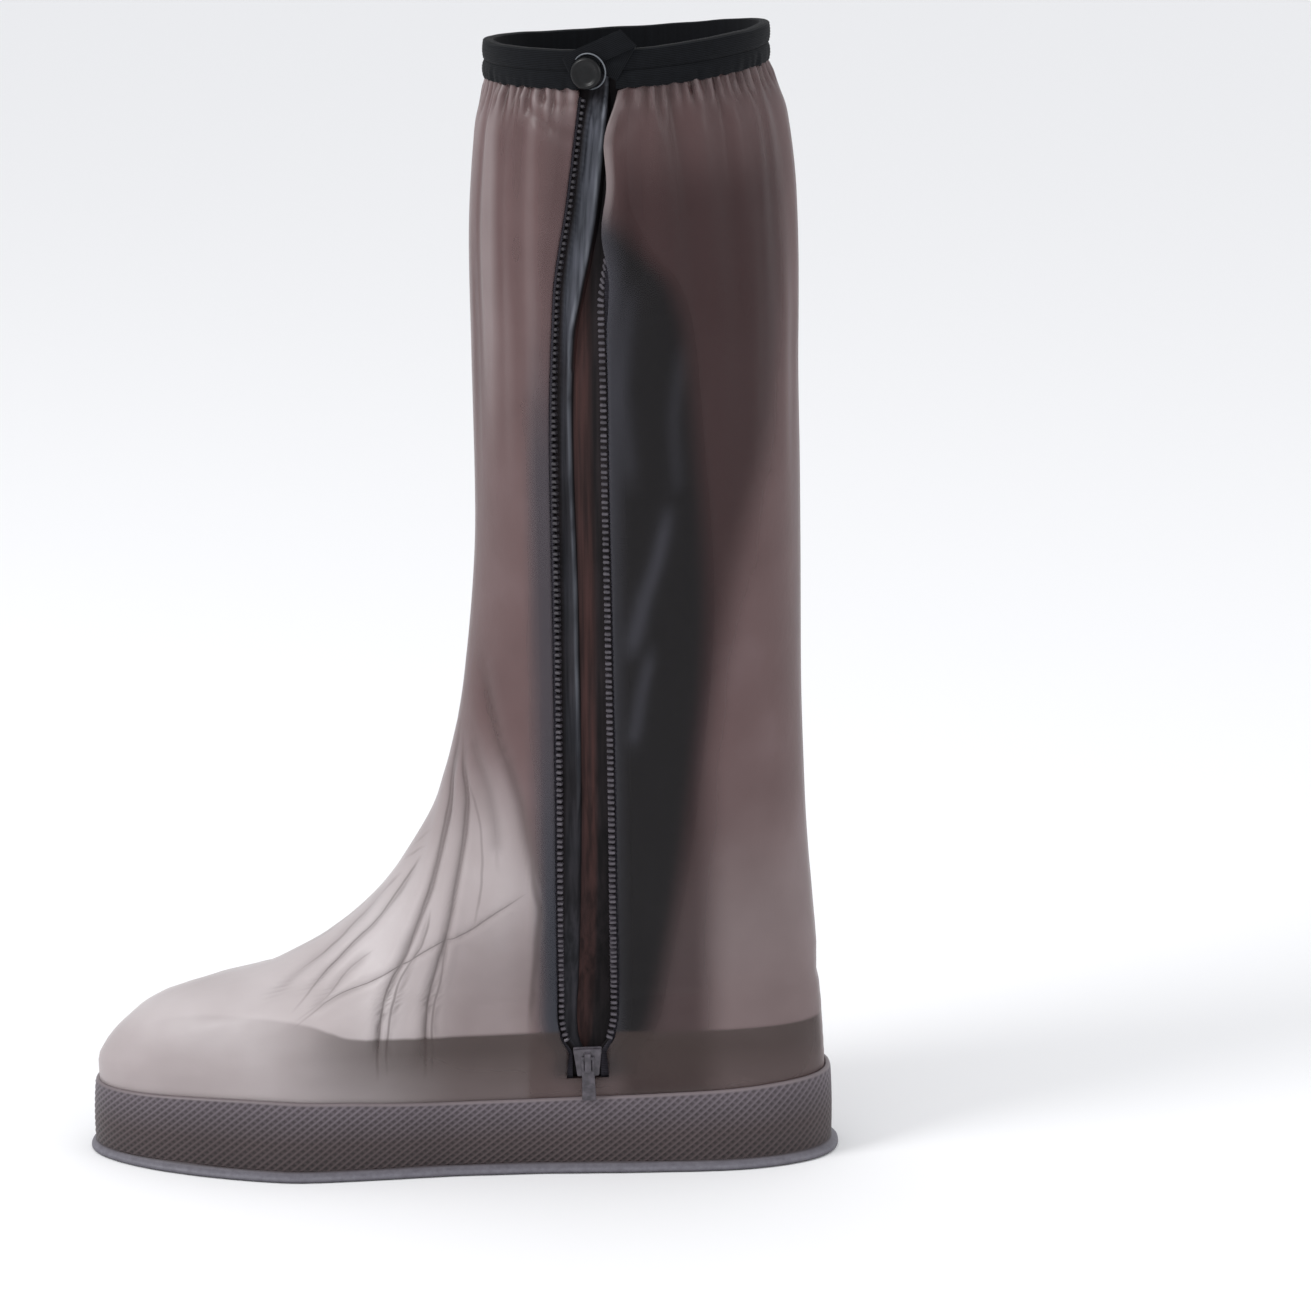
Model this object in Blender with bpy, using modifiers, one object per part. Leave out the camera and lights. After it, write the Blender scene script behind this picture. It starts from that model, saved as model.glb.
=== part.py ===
"""Tall waterproof shoe cover for the right foot, open down its inner side behind a zip.

Metres, +Z up. The toe points to -X and the inner side, with the zip, faces -Y.
The origin is on the floor under the middle of the cover's box.
"""

import bisect
import math
from collections import namedtuple

import bmesh
import bpy
from mathutils import Matrix, Vector

# Sole unit
SOLE_LENGTH = 0.2810
SOLE_WIDTH = 0.1050
SOLE_SQUARENESS = 2.3
TOE_SWING = 0.0040
OUTSOLE_THICKNESS = 0.0036
LIP_REACH = 0.0028
LIP_THICKNESS = 0.0018
BAND_HEIGHT = 0.0290
BAND_WALL = 0.0018
BAND_LEAN = 0.0006
GROOVE_COUNT = 13
GROOVE_WIDTH = 0.0040
GROOVE_DEPTH = 0.0014
GROOVE_MARGIN = 0.0140

# Film upper
COVER_HEIGHT = 0.4206
FILM_WALL = 0.0010
SHAFT_LENGTH = 0.1210
SHAFT_WIDTH = 0.1080
SHAFT_CENTRE = 0.0661
PLEAT_DEPTH = 0.0019
FOLD_DEPTH = 0.0034

# Elastic cuff binding, a channel folded over the film's top edge
CUFF_LENGTH = 0.1036
CUFF_WIDTH = 0.0960
CUFF_CENTRE = 0.0627
CUFF_HEIGHT = 0.0136
CUFF_WALL = 0.0011
CUFF_SAG = 0.0028
CUFF_TILT = 0.0063
CUFF_FRONT_TAIL = 0.0080

# Zip on the inner side
ZIP_CENTRE = 0.0483
ZIP_HALF_GAP = 0.0096
ZIP_REVEAL = 0.0038
TAPE_WIDTH = 0.0075
TAPE_WALL = 0.0010
TAPE_CLEARANCE = 0.0006
TEETH_WIDTH = 0.0028
TEETH_PROUD = 0.0004
GUSSET_WALL = 0.0010
GUSSET_FOLD_REACH = 0.0340
SLIDER_WIDTH = 0.0095
SLIDER_HEIGHT = 0.0105
SLIDER_DEPTH = 0.0040
PULL_LENGTH = 0.0170
PULL_WIDTH = 0.0050
PULL_THICKNESS = 0.0012

# Strap that holds the two ends of the cuff together, and its snap button
STRAP_WIDTH = 0.0112
STRAP_THICKNESS = 0.0016
STRAP_REACH = 0.0204
STRAP_PEAK = 0.0078
SNAP_DIAMETER = 0.0114
SNAP_DOME = 0.0026
SNAP_POST = 0.0032
SNAP_WASHER = 0.0080
SNAP_PLAY = 0.0003

GAP = 0.0003

# Widths of the sole's outline along it, from toe 0 to heel 1, as shares of half SOLE_WIDTH
Footprint = namedtuple("Footprint", "along inner outer")
FOOTPRINT = [
    Footprint(0.00, 0.83, 0.84),
    Footprint(0.12, 0.87, 0.93),
    Footprint(0.27, 0.92, 0.985),
    Footprint(0.38, 0.82, 1.00),
    Footprint(0.50, 0.71, 0.94),
    Footprint(0.62, 0.67, 0.86),
    Footprint(0.76, 0.71, 0.82),
    Footprint(0.88, 0.80, 0.86),
    Footprint(1.00, 0.88, 0.92),
]

# Height of the textured band's top edge along the sole, as a share of BAND_HEIGHT
BandTop = namedtuple("BandTop", "along height")
BAND_TOP = [
    BandTop(0.00, 0.95),
    BandTop(0.25, 1.05),
    BandTop(0.50, 0.96),
    BandTop(0.75, 1.02),
    BandTop(1.00, 1.12),
]

# Sections of the film from the band's top, rise 0, to the cuff's lower edge, rise 1.
# toe: share of the way from the shaft's front line to the toe; heel: the same towards the heel.
# sole, shaft and cuff: how much of each part's width is in the section; foot: how far it keeps the sole's outline.
Section = namedtuple("Section", "rise toe heel sole shaft cuff foot")
SECTIONS = [
    Section(0.000, 1.005, 1.00, 1.010, 0.000, 0.00, 1.00),
    Section(0.018, 1.008, 0.98, 1.010, 0.000, 0.00, 0.99),
    Section(0.038, 0.982, 0.93, 0.985, 0.000, 0.00, 0.97),
    Section(0.061, 0.926, 0.87, 0.945, 0.000, 0.00, 0.93),
    Section(0.077, 0.870, 0.82, 0.900, 0.000, 0.00, 0.88),
    Section(0.094, 0.745, 0.76, 0.830, 0.000, 0.00, 0.80),
    Section(0.108, 0.600, 0.70, 0.730, 0.050, 0.00, 0.70),
    Section(0.137, 0.436, 0.62, 0.570, 0.200, 0.00, 0.52),
    Section(0.180, 0.289, 0.50, 0.330, 0.475, 0.00, 0.32),
    Section(0.220, 0.197, 0.40, 0.150, 0.670, 0.00, 0.16),
    Section(0.300, 0.091, 0.27, 0.000, 0.855, 0.00, 0.00),
    Section(0.420, 0.024, 0.14, 0.000, 0.930, 0.00, 0.00),
    Section(0.580, -0.007, 0.06, 0.000, 0.985, 0.00, 0.00),
    Section(0.740, -0.003, 0.00, 0.000, 1.000, 0.00, 0.00),
    Section(0.870, 0.008, 0.00, 0.000, 0.850, 0.15, 0.00),
    Section(0.950, 0.008, 0.00, 0.000, 0.560, 0.44, 0.00),
    Section(1.000, 0.000, 0.00, 0.000, 0.000, 1.00, 0.00),
]

# Course of the two rows of teeth from the band's top to the cuff, as shares of ZIP_HALF_GAP
ZipCourse = namedtuple("ZipCourse", "rise half_gap lean")
ZIP_COURSE = [
    ZipCourse(0.018, 0.42, 0.00),
    ZipCourse(0.042, 0.42, 0.00),
    ZipCourse(0.060, 0.86, 0.00),
    ZipCourse(0.085, 1.02, 0.00),
    ZipCourse(0.260, 1.00, -0.02),
    ZipCourse(0.480, 0.97, -0.11),
    ZipCourse(0.690, 0.94, -0.22),
    ZipCourse(0.800, 0.82, -0.20),
    ZipCourse(0.900, 0.64, 0.18),
    ZipCourse(1.000, 0.57, 0.60),
]
ZIP_END_RISE = 0.018
TEETH_END_RISE = 0.056
ZIP_TOP_RISE = 0.992
GUSSET_TOP_RISE = 1.85

# Gusset behind the zip: its rear fold, as a share of GUSSET_FOLD_REACH behind the rear teeth, and the pleat
# that stands out between the rows near the cuff, as a share of the way from the front row to the rear one
GussetCourse = namedtuple("GussetCourse", "rise fold pleat pleat_out")
GUSSET_COURSE = [
    GussetCourse(0.018, 0.44, 0.25, 0.0),
    GussetCourse(0.110, 0.62, 0.25, 0.0),
    GussetCourse(0.300, 0.95, 0.25, 0.0),
    GussetCourse(0.510, 1.17, 0.20, 0.0),
    GussetCourse(0.710, 1.02, 0.10, 0.1),
    GussetCourse(0.770, 0.96, 0.20, 0.8),
    GussetCourse(0.820, 0.90, 0.48, 1.0),
    GussetCourse(0.860, 0.80, 0.68, 1.0),
    GussetCourse(0.910, 0.42, 0.84, 1.0),
    GussetCourse(0.970, 0.36, 0.90, 1.0),
    GussetCourse(1.000, 0.34, 0.80, 0.0),
]

# Course of the strap's middle line from the snap: share of STRAP_REACH along, share of STRAP_PEAK up
StrapCourse = namedtuple("StrapCourse", "share climb")
STRAP_COURSE = [
    StrapCourse(-0.27, -0.02),
    StrapCourse(0.00, 0.17),
    StrapCourse(0.61, 1.00),
    StrapCourse(1.00, 0.10),
]

# Folds that fan down from the ankle. side: -1 inner, 1 outer; share: place between the shin line and the zip,
# or its mirror; depth: share of FOLD_DEPTH.
Fold = namedtuple("Fold", "side share low high depth")
FOLDS = [
    Fold(-1, 5 / 16, 0.10, 0.27, 0.45),
    Fold(-1, 8 / 16, 0.06, 0.34, 0.70),
    Fold(-1, 11 / 16, 0.02, 0.38, 1.00),
    Fold(-1, 14 / 16, 0.08, 0.42, 0.90),
    Fold(1, 6 / 16, 0.07, 0.30, 0.60),
    Fold(1, 9 / 16, 0.03, 0.34, 0.80),
    Fold(1, 11 / 16, 0.02, 0.38, 1.00),
    Fold(1, 14 / 16, 0.02, 0.42, 0.95),
]

# How far the columns of the mesh swing forward above the foot, so that they run along those folds
Swing = namedtuple("Swing", "rise amount")
SWING = [
    Swing(0.00, 0.00),
    Swing(0.06, 0.00),
    Swing(0.20, 0.22),
    Swing(0.33, 0.25),
    Swing(0.60, 0.08),
    Swing(0.85, 0.00),
    Swing(1.00, 0.00),
]

# How strong the gathers under the cuff are
Gather = namedtuple("Gather", "rise strength")
GATHER = [
    Gather(0.00, 0.00),
    Gather(0.72, 0.00),
    Gather(0.86, 0.14),
    Gather(0.93, 0.45),
    Gather(0.965, 0.85),
    Gather(0.985, 1.00),
    Gather(1.00, 0.00),
]

# Columns round the cover: shin to zip, across the zip, zip to back
FRONT_COLUMNS = 16
ZIP_COLUMNS = 3
BACK_COLUMNS = 18

FILM_RISES = [
    0.018, 0.042, 0.060, 0.078, 0.092, 0.107, 0.135, 0.177, 0.218, 0.270, 0.340,
    0.430, 0.540, 0.660, 0.770, 0.860, 0.920, 0.960, 0.985,
]


def steady_curve(rows, name, at):
    """Value of one column of a table at a place, on a smooth curve that doesn't overshoot its rows."""
    xs = [row[0] for row in rows]
    ys = [getattr(row, name) for row in rows]
    if at <= xs[0]:
        return ys[0]
    if at >= xs[-1]:
        return ys[-1]
    steps = [(ys[i + 1] - ys[i]) / (xs[i + 1] - xs[i]) for i in range(len(xs) - 1)]
    slopes = [steps[0]]
    for before, after in zip(steps, steps[1:]):
        slopes.append(0.0 if before * after <= 0 else 2 * before * after / (before + after))
    slopes.append(steps[-1])
    i = bisect.bisect_right(xs, at) - 1
    width = xs[i + 1] - xs[i]
    t = (at - xs[i]) / width
    rise = ys[i] * (2 * t**3 - 3 * t**2 + 1) + ys[i + 1] * (3 * t**2 - 2 * t**3)
    return rise + width * (slopes[i] * (t**3 - 2 * t**2 + t) + slopes[i + 1] * (t**3 - t**2))


def ramp(low, high, at):
    """0 below low, 1 above high, and a smooth step between."""
    t = min(1.0, max(0.0, (at - low) / (high - low)))
    return t * t * (3 - 2 * t)


SHAFT_FRONT = SHAFT_CENTRE - SHAFT_LENGTH / 2
SHAFT_BACK = SHAFT_CENTRE + SHAFT_LENGTH / 2
BAND_INSET = BAND_WALL + GAP
CUFF_SHELL = CUFF_WALL + GAP
FILM_TOE = -SOLE_LENGTH / 2 + BAND_LEAN + BAND_INSET
FILM_HEEL = SOLE_LENGTH / 2 - BAND_LEAN - BAND_INSET


class Loop:
    """One level section of the cover, open to growth outwards, with angle 0 at the toe and the inner side first."""

    def __init__(self, front, back, half_width, foot, trim):
        self.front = front
        self.back = back
        self.half_width = half_width
        self.foot = foot
        self.trim = trim
        self.power = 2 / (2 + (SOLE_SQUARENESS - 2) * foot)

    def along(self, angle):
        """Share of the way from the front to the back at an angle."""
        c = math.cos(angle)
        return (1 - math.copysign(abs(c) ** self.power, c)) / 2

    def angle_at(self, x):
        """Angle on the inner side at which the loop passes x."""
        reach = min(0.999, max(-0.999, 1 - 2 * (x - self.front) / (self.back - self.front)))
        return math.acos(math.copysign(abs(reach) ** (1 / self.power), reach))

    def point(self, angle, grow=0.0):
        """Place on the loop, grown outwards, as x and y."""
        u = self.along(angle)
        s = math.sin(angle)
        side = "inner" if s >= 0 else "outer"
        shape = 1 + self.foot * (steady_curve(FOOTPRINT, side, u) - 1)
        half = self.half_width * shape - self.trim + grow
        x = self.front - grow + (self.back - self.front + 2 * grow) * u
        y = -half * math.copysign(abs(s) ** self.power, s) - TOE_SWING * self.foot * (1 - u) ** 2
        return Vector((x, y))


def sole_loop(height_share=0.0, grow=0.0):
    """The sole unit's outline, which leans in by BAND_LEAN from the floor to the band's top."""
    trim = BAND_LEAN * height_share - grow
    return Loop(-SOLE_LENGTH / 2 + trim, SOLE_LENGTH / 2 - trim, SOLE_WIDTH / 2, 1.0, trim)


def film_loop(rise):
    """Outer face of the film at a rise; below 0 it lies inside the band and above 1 inside the cuff."""
    if rise < 0:
        return sole_loop(1 + rise, -BAND_INSET)
    at = min(rise, 1.0)
    value = {name: steady_curve(SECTIONS, name, at) for name in Section._fields}
    toe_reach = SHAFT_FRONT - FILM_TOE
    heel_reach = FILM_HEEL - SHAFT_BACK
    cuff_front = CUFF_CENTRE - CUFF_LENGTH / 2 + CUFF_SHELL
    cuff_back = CUFF_CENTRE + CUFF_LENGTH / 2 - CUFF_SHELL
    front = SHAFT_FRONT - value["toe"] * toe_reach + value["cuff"] * (cuff_front - SHAFT_FRONT)
    back = SHAFT_BACK + value["heel"] * heel_reach + value["cuff"] * (cuff_back - SHAFT_BACK)
    half = (
        value["sole"] * SOLE_WIDTH / 2
        + value["shaft"] * SHAFT_WIDTH / 2
        + value["cuff"] * (CUFF_WIDTH / 2 - CUFF_SHELL)
    )
    return Loop(front, back, half, value["foot"], value["sole"] * (BAND_LEAN + BAND_INSET))


def band_top(u):
    """Height of the band's top edge along the sole."""
    return BAND_HEIGHT * steady_curve(BAND_TOP, "height", u)


def cuff_low(u):
    """Height of the cuff's lower edge: it sags at both sides and rises to the back."""
    return COVER_HEIGHT - CUFF_HEIGHT - CUFF_SAG * 4 * u * (1 - u) + CUFF_TILT * u


def film_height(rise, u):
    """Height of the film at a rise and a place along the cover."""
    foot_height = OUTSOLE_THICKNESS + GAP
    if rise < 0:
        return foot_height + (band_top(u) - foot_height) * (1 + rise)
    if rise > 1:
        return cuff_low(u) + (rise - 1) * (CUFF_HEIGHT - CUFF_WALL - GAP)
    return band_top(u) + (cuff_low(u) - band_top(u)) * rise


def zip_row_x(rise, side):
    """Where along the cover a row of teeth runs: side -1 is the front row, 1 the rear one."""
    gap = ZIP_HALF_GAP * steady_curve(ZIP_COURSE, "half_gap", rise)
    lean = ZIP_HALF_GAP * steady_curve(ZIP_COURSE, "lean", rise)
    return ZIP_CENTRE + lean + side * gap


def film_edge_x(rise, side):
    """Where the film's cut edge runs beside a row of teeth."""
    return zip_row_x(rise, side) + side * ZIP_REVEAL


def column_angles(rise):
    """Angles of the mesh's columns at a rise: they follow the zip, its mirror and the folds."""
    loop = film_loop(rise)
    zip_front = loop.angle_at(film_edge_x(rise, -1))
    zip_rear = loop.angle_at(film_edge_x(rise, 1))
    swing = steady_curve(SWING, "amount", rise)
    half = []
    for i in range(FRONT_COLUMNS):
        share = i / FRONT_COLUMNS
        half.append(zip_front * (share - swing * 6.75 * share**2 * (1 - share)))
    for i in range(ZIP_COLUMNS):
        half.append(zip_front + (zip_rear - zip_front) * i / ZIP_COLUMNS)
    for i in range(BACK_COLUMNS + 1):
        half.append(zip_rear + (math.pi - zip_rear) * i / BACK_COLUMNS)
    return half + [2 * math.pi - a for a in reversed(half[1:-1])]


COLUMNS = 2 * (FRONT_COLUMNS + ZIP_COLUMNS + BACK_COLUMNS)
ZIP_COLUMN = FRONT_COLUMNS
ZIP_END_COLUMN = FRONT_COLUMNS + ZIP_COLUMNS


def calm(column):
    """1 away from the zip and 0 beside it, where the film is held flat by the tapes."""
    nearest = min(abs(column - ZIP_COLUMN), abs(column - ZIP_END_COLUMN))
    return min(1.0, max(0.0, nearest - 1) / 1.5)


def fold_offset(column, rise):
    """How far the film stands out (or in, below 0) at a column through the folds and gathers."""
    strength = steady_curve(GATHER, "strength", rise)
    uneven = 0.75 + 0.25 * math.sin(1.9 * column) * math.cos(0.63 * column + 1.0)
    offset = PLEAT_DEPTH * strength * uneven * math.cos(math.pi * column)
    for fold in FOLDS:
        middle = fold.share * FRONT_COLUMNS
        if fold.side > 0:
            middle = COLUMNS - middle
        distance = abs(column - middle)
        if distance > 2:
            continue
        reach = ramp(fold.low, fold.low + 0.06, rise) * (1 - ramp(fold.high - 0.10, fold.high, rise))
        profile = -1.0 if distance < 0.5 else 0.35
        offset += FOLD_DEPTH * fold.depth * reach * profile * (1 if distance < 1.5 else 0)
    return offset * calm(column)


def film_point(rise, angle, grow=0.0):
    """Place on the film's outer face, or on a face grown outwards from it."""
    loop = film_loop(rise)
    flat = loop.point(angle, grow)
    return Vector((flat.x, flat.y, film_height(rise, loop.along(angle))))


def point_at_x(rise, x, grow=0.0):
    """Place on the inner side at an x, level with a rise, grown outwards from the film's outer face."""
    return film_point(rise, film_loop(rise).angle_at(x), grow)


def make_material(name, color, roughness, metallic=0.0, alpha=1.0):
    material = bpy.data.materials.new(name)
    material.use_nodes = True
    shader = material.node_tree.nodes["Principled BSDF"]
    shader.inputs["Base Color"].default_value = (*color, 1.0)
    shader.inputs["Roughness"].default_value = roughness
    shader.inputs["Metallic"].default_value = metallic
    shader.inputs["Alpha"].default_value = alpha
    return material


def add_object(name, mesh, collection, material=None):
    thing = bpy.data.objects.new(name, mesh)
    collection.objects.link(thing)
    if material:
        mesh.materials.append(material)
    return thing


def face_outwards(bm):
    bmesh.ops.recalc_face_normals(bm, faces=bm.faces)


def mesh_from(bm, name, smooth_angle=40):
    """Writes a bmesh to a new mesh, shaded smooth up to an angle."""
    mesh = bpy.data.meshes.new(name)
    bm.to_mesh(mesh)
    bm.free()
    mesh.shade_smooth()
    mesh.set_sharp_from_angle(angle=math.radians(smooth_angle))
    return mesh


def skin_rings(rings, closed_ring=True, closed_path=False):
    """A closed body over a row of rings with equal numbers of corners, with its open ends capped."""
    bm = bmesh.new()
    made = [[bm.verts.new(p) for p in ring] for ring in rings]
    count = len(made[0])
    pairs = list(zip(made, made[1:]))
    if closed_path:
        pairs.append((made[-1], made[0]))
    for low, high in pairs:
        for i in range(count if closed_ring else count - 1):
            j = (i + 1) % count
            bm.faces.new((low[i], low[j], high[j], high[i]))
    if not closed_path:
        bm.faces.new(list(reversed(made[0])))
        bm.faces.new(made[-1])
    face_outwards(bm)
    return bm


def build_film(collection, material):
    """The film upper: one thin wall from inside the band to inside the cuff, slit for the zip."""
    rises = [-1.0, -0.04] + FILM_RISES + [1.0, 2.0]
    slit_from = rises.index(ZIP_END_RISE)
    bm = bmesh.new()
    rows = []
    for rise in rises:
        loop = film_loop(rise)
        row = []
        for column, angle in enumerate(column_angles(min(rise, 1.0))):
            offset = fold_offset(column, rise) if 0 < rise < 1 else 0.0
            flat = loop.point(angle, offset)
            row.append(bm.verts.new((flat.x, flat.y, film_height(rise, loop.along(angle)))))
        rows.append(row)
    for r, (low, high) in enumerate(zip(rows, rows[1:])):
        for c in range(COLUMNS):
            if r >= slit_from and ZIP_COLUMN <= c < ZIP_END_COLUMN:
                continue
            d = (c + 1) % COLUMNS
            bm.faces.new((low[c], low[d], high[d], high[c]))
    loose = [v for v in bm.verts if not v.link_faces]
    bmesh.ops.delete(bm, geom=loose, context="VERTS")
    film = add_object("film_upper", mesh_from(bm, "film_upper", 60), collection, material)
    wall = film.modifiers.new("Wall", "SOLIDIFY")
    wall.thickness = FILM_WALL
    wall.offset = -1
    wall.use_even_offset = False
    return film


def build_band(collection, material):
    """The textured band that wraps the foot of the film."""
    bm = bmesh.new()
    low_height = OUTSOLE_THICKNESS + GAP
    rows = []
    for height_share, grow in ((0, -BAND_WALL), (0, 0), (0.5, 0.0004), (1, 0), (1, -BAND_WALL)):
        loop = sole_loop(height_share)
        row = []
        for angle in column_angles(-1.0):
            flat = loop.point(angle, grow)
            top = band_top(loop.along(angle))
            row.append(bm.verts.new((flat.x, flat.y, low_height + (top - low_height) * height_share)))
        rows.append(row)
    for low, high in zip(rows, rows[1:] + rows[:1]):
        for c in range(COLUMNS):
            d = (c + 1) % COLUMNS
            bm.faces.new((low[c], low[d], high[d], high[c]))
    face_outwards(bm)
    return add_object("sole_band", mesh_from(bm, "sole_band", 50), collection, material)


def build_outsole(collection, cutters, material):
    """The outsole plate with its weld lip and grooves across the tread."""
    steps = ((0.0, LIP_REACH), (LIP_THICKNESS, LIP_REACH), (LIP_THICKNESS, 0.0), (OUTSOLE_THICKNESS, 0.0))
    angles = column_angles(-1.0)
    loop = sole_loop()
    rings = []
    for height, grow in steps:
        rings.append([Vector((*loop.point(a, grow), height)) for a in angles])
    outsole = add_object("outsole", mesh_from(skin_rings(rings), "outsole", 30), collection, material)
    pitch = (SOLE_LENGTH - 2 * GROOVE_MARGIN) / GROOVE_COUNT
    bm = bmesh.new()
    for i in range(GROOVE_COUNT):
        x = -SOLE_LENGTH / 2 + GROOVE_MARGIN + (i + 0.5) * pitch
        inner = loop.point(loop.angle_at(x), -GROOVE_MARGIN)
        outer = loop.point(2 * math.pi - loop.angle_at(x), -GROOVE_MARGIN)
        groove = bmesh.ops.create_cube(bm, size=1.0)["verts"]
        bmesh.ops.scale(bm, vec=(GROOVE_WIDTH, outer.y - inner.y, 2 * GROOVE_DEPTH), verts=groove)
        bmesh.ops.translate(bm, vec=(x, (inner.y + outer.y) / 2, 0), verts=groove)
    grooves = add_object("groove_cutter", mesh_from(bm, "groove_cutter"), cutters)
    cut_with(outsole, grooves)
    return outsole


def cut_with(target, cutter):
    cutter.hide_render = True
    cutter.display_type = "WIRE"
    cut = target.modifiers.new("Cut " + cutter.name, "BOOLEAN")
    cut.operation = "DIFFERENCE"
    cut.object = cutter


def cuff_ring(u_angle, loop):
    """Corners of the cuff's channel at one place round the top: outer wall, roof and inner wall."""
    out = CUFF_SHELL
    into = -FILM_WALL - CUFF_SHELL
    u = loop.along(u_angle)
    low = cuff_low(u)
    top = low + CUFF_HEIGHT
    roof = top - CUFF_WALL
    corners = (
        (GAP, low), (out, low), (out, (low + top) / 2), (out, top),
        (into, top), (into, low), (into + CUFF_WALL, low), (into + CUFF_WALL, roof), (GAP, roof),
    )
    return [Vector((*loop.point(u_angle, grow), z)) for grow, z in corners]


def build_cuff(collection, cutters, material):
    """The elastic binding, open at the zip, with a tail past the film's front edge for the snap."""
    loop = film_loop(1.0)
    angles = column_angles(1.0)
    tail = loop.angle_at(film_edge_x(1.0, -1) + CUFF_FRONT_TAIL)
    rear = angles[ZIP_END_COLUMN:] + [2 * math.pi + a for a in angles[: ZIP_COLUMN + 1]]
    rings = [cuff_ring(a, loop) for a in rear + [2 * math.pi + tail]]
    cuff = add_object("cuff_binding", mesh_from(skin_rings(rings), "cuff_binding", 50), collection, material)
    cut_with(cuff, snap_hole_cutter(cutters, "cuff_hole_cutter"))
    return cuff


def strip_between(rises, inner_x, outer_x, deep, shallow, columns=1):
    """A strip down the inner side between two courses, from one growth to another."""
    rings = []
    for rise in rises:
        from_x = inner_x(rise)
        to_x = outer_x(rise)
        xs = [from_x + (to_x - from_x) * i / columns for i in range(columns + 1)]
        ring = [point_at_x(rise, x, shallow) for x in xs]
        ring += [point_at_x(rise, x, deep) for x in reversed(xs)]
        rings.append(ring)
    return skin_rings(rings)


def zip_rises(from_rise):
    """Rises of the zip's sections, from its lower end to its top."""
    return [from_rise] + [r for r in FILM_RISES if from_rise + 0.004 < r < ZIP_TOP_RISE - 0.004] + [ZIP_TOP_RISE]


def build_zip_side(side, name, collection, tape_material, teeth_material):
    """One tape under the film's edge, and the row of teeth on the tape's edge."""
    half = TEETH_WIDTH / 2
    shallow = -FILM_WALL - TAPE_CLEARANCE
    tape = strip_between(
        zip_rises(ZIP_END_RISE),
        lambda rise: zip_row_x(rise, side) + side * (half + GAP),
        lambda rise: zip_row_x(rise, side) + side * TAPE_WIDTH,
        shallow - TAPE_WALL,
        shallow,
        2,
    )
    add_object(name + "_zip_tape", mesh_from(tape, name + "_zip_tape"), collection, tape_material)
    teeth = strip_between(
        zip_rises(TEETH_END_RISE),
        lambda rise: zip_row_x(rise, side) - half,
        lambda rise: zip_row_x(rise, side) + half,
        shallow - TAPE_WALL,
        TEETH_PROUD,
    )
    add_object(name + "_zip_teeth", mesh_from(teeth, name + "_zip_teeth"), collection, teeth_material)


def gusset_ring(rise):
    """Corners of the gusset's wall at a rise, along one face of the sheet and back along the other."""
    near = -FILM_WALL - TAPE_CLEARANCE - TAPE_WALL - 2 * GAP - GUSSET_WALL / 2
    near -= 0.0014 * ramp(0.96, 1.0, rise)
    far = near - GUSSET_WALL - 3 * GAP
    front_row = zip_row_x(rise, -1)
    rear_row = zip_row_x(rise, 1)
    fold = rear_row + GUSSET_FOLD_REACH * steady_curve(GUSSET_COURSE, "fold", rise)
    share = steady_curve(GUSSET_COURSE, "pleat", rise)
    out = steady_curve(GUSSET_COURSE, "pleat_out", rise)
    half = TEETH_WIDTH / 2
    clear_of_teeth = 2 * GAP + GUSSET_WALL / 2
    room_from = front_row + half + clear_of_teeth
    room_to = rear_row - half - clear_of_teeth
    pleat = room_from + (room_to - room_from) * share
    pleat_grow = near + out * (-near - GUSSET_WALL)
    path = [
        (front_row - TAPE_WIDTH, near),
        (front_row + half, near),
        (pleat - GUSSET_WALL * 0.2, pleat_grow),
        (pleat + GUSSET_WALL * 0.6, far),
        (rear_row + TAPE_WIDTH, far),
        (fold, (near + far) / 2 - GUSSET_WALL * 0.6),
        (fold + GUSSET_WALL, (near + far) / 2),
        (fold, (near + far) / 2 + GUSSET_WALL * 0.6),
        (rear_row + half, near),
    ]
    centres = [Vector(p) for p in path]
    left = []
    right = []
    for i, centre in enumerate(centres):
        before = centres[max(i - 1, 0)]
        after = centres[min(i + 1, len(centres) - 1)]
        direction = (after - before).normalized()
        across = Vector((-direction.y, direction.x)) * GUSSET_WALL / 2
        left.append(centre + across)
        right.append(centre - across)
    return [point_at_x(rise, p.x, p.y) for p in left + right[::-1]]


def build_gusset(collection, material):
    """The dark waterproof gusset behind the zip, with its spare width folded back inside the film."""
    rings = [gusset_ring(rise) for rise in zip_rises(ZIP_END_RISE) + [1.05, GUSSET_TOP_RISE]]
    return add_object("zip_gusset", mesh_from(skin_rings(rings), "zip_gusset", 60), collection, material)


def side_frame(rise, x, grow):
    """Frame on the inner side: its Z points out of the cover and its Y up."""
    place = point_at_x(rise, x, grow)
    step = 0.002
    along = (point_at_x(rise, x + step, grow) - point_at_x(rise, x - step, grow)).normalized()
    out = along.cross(Vector((0, 0, 1))).normalized()
    up = out.cross(along)
    return Matrix.Translation(place) @ Matrix((along, up, out)).transposed().to_4x4()


def bevelled_box(name, size, centre, width, collection):
    bm = bmesh.new()
    bmesh.ops.create_cube(bm, size=1.0)
    bmesh.ops.scale(bm, vec=size, verts=bm.verts)
    bmesh.ops.translate(bm, vec=centre, verts=bm.verts)
    bmesh.ops.bevel(
        bm, geom=bm.edges[:], offset=width, segments=1, profile=0.5, affect="EDGES", material=-1
    )
    return add_object(name, mesh_from(bm, name, 30), collection)


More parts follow.
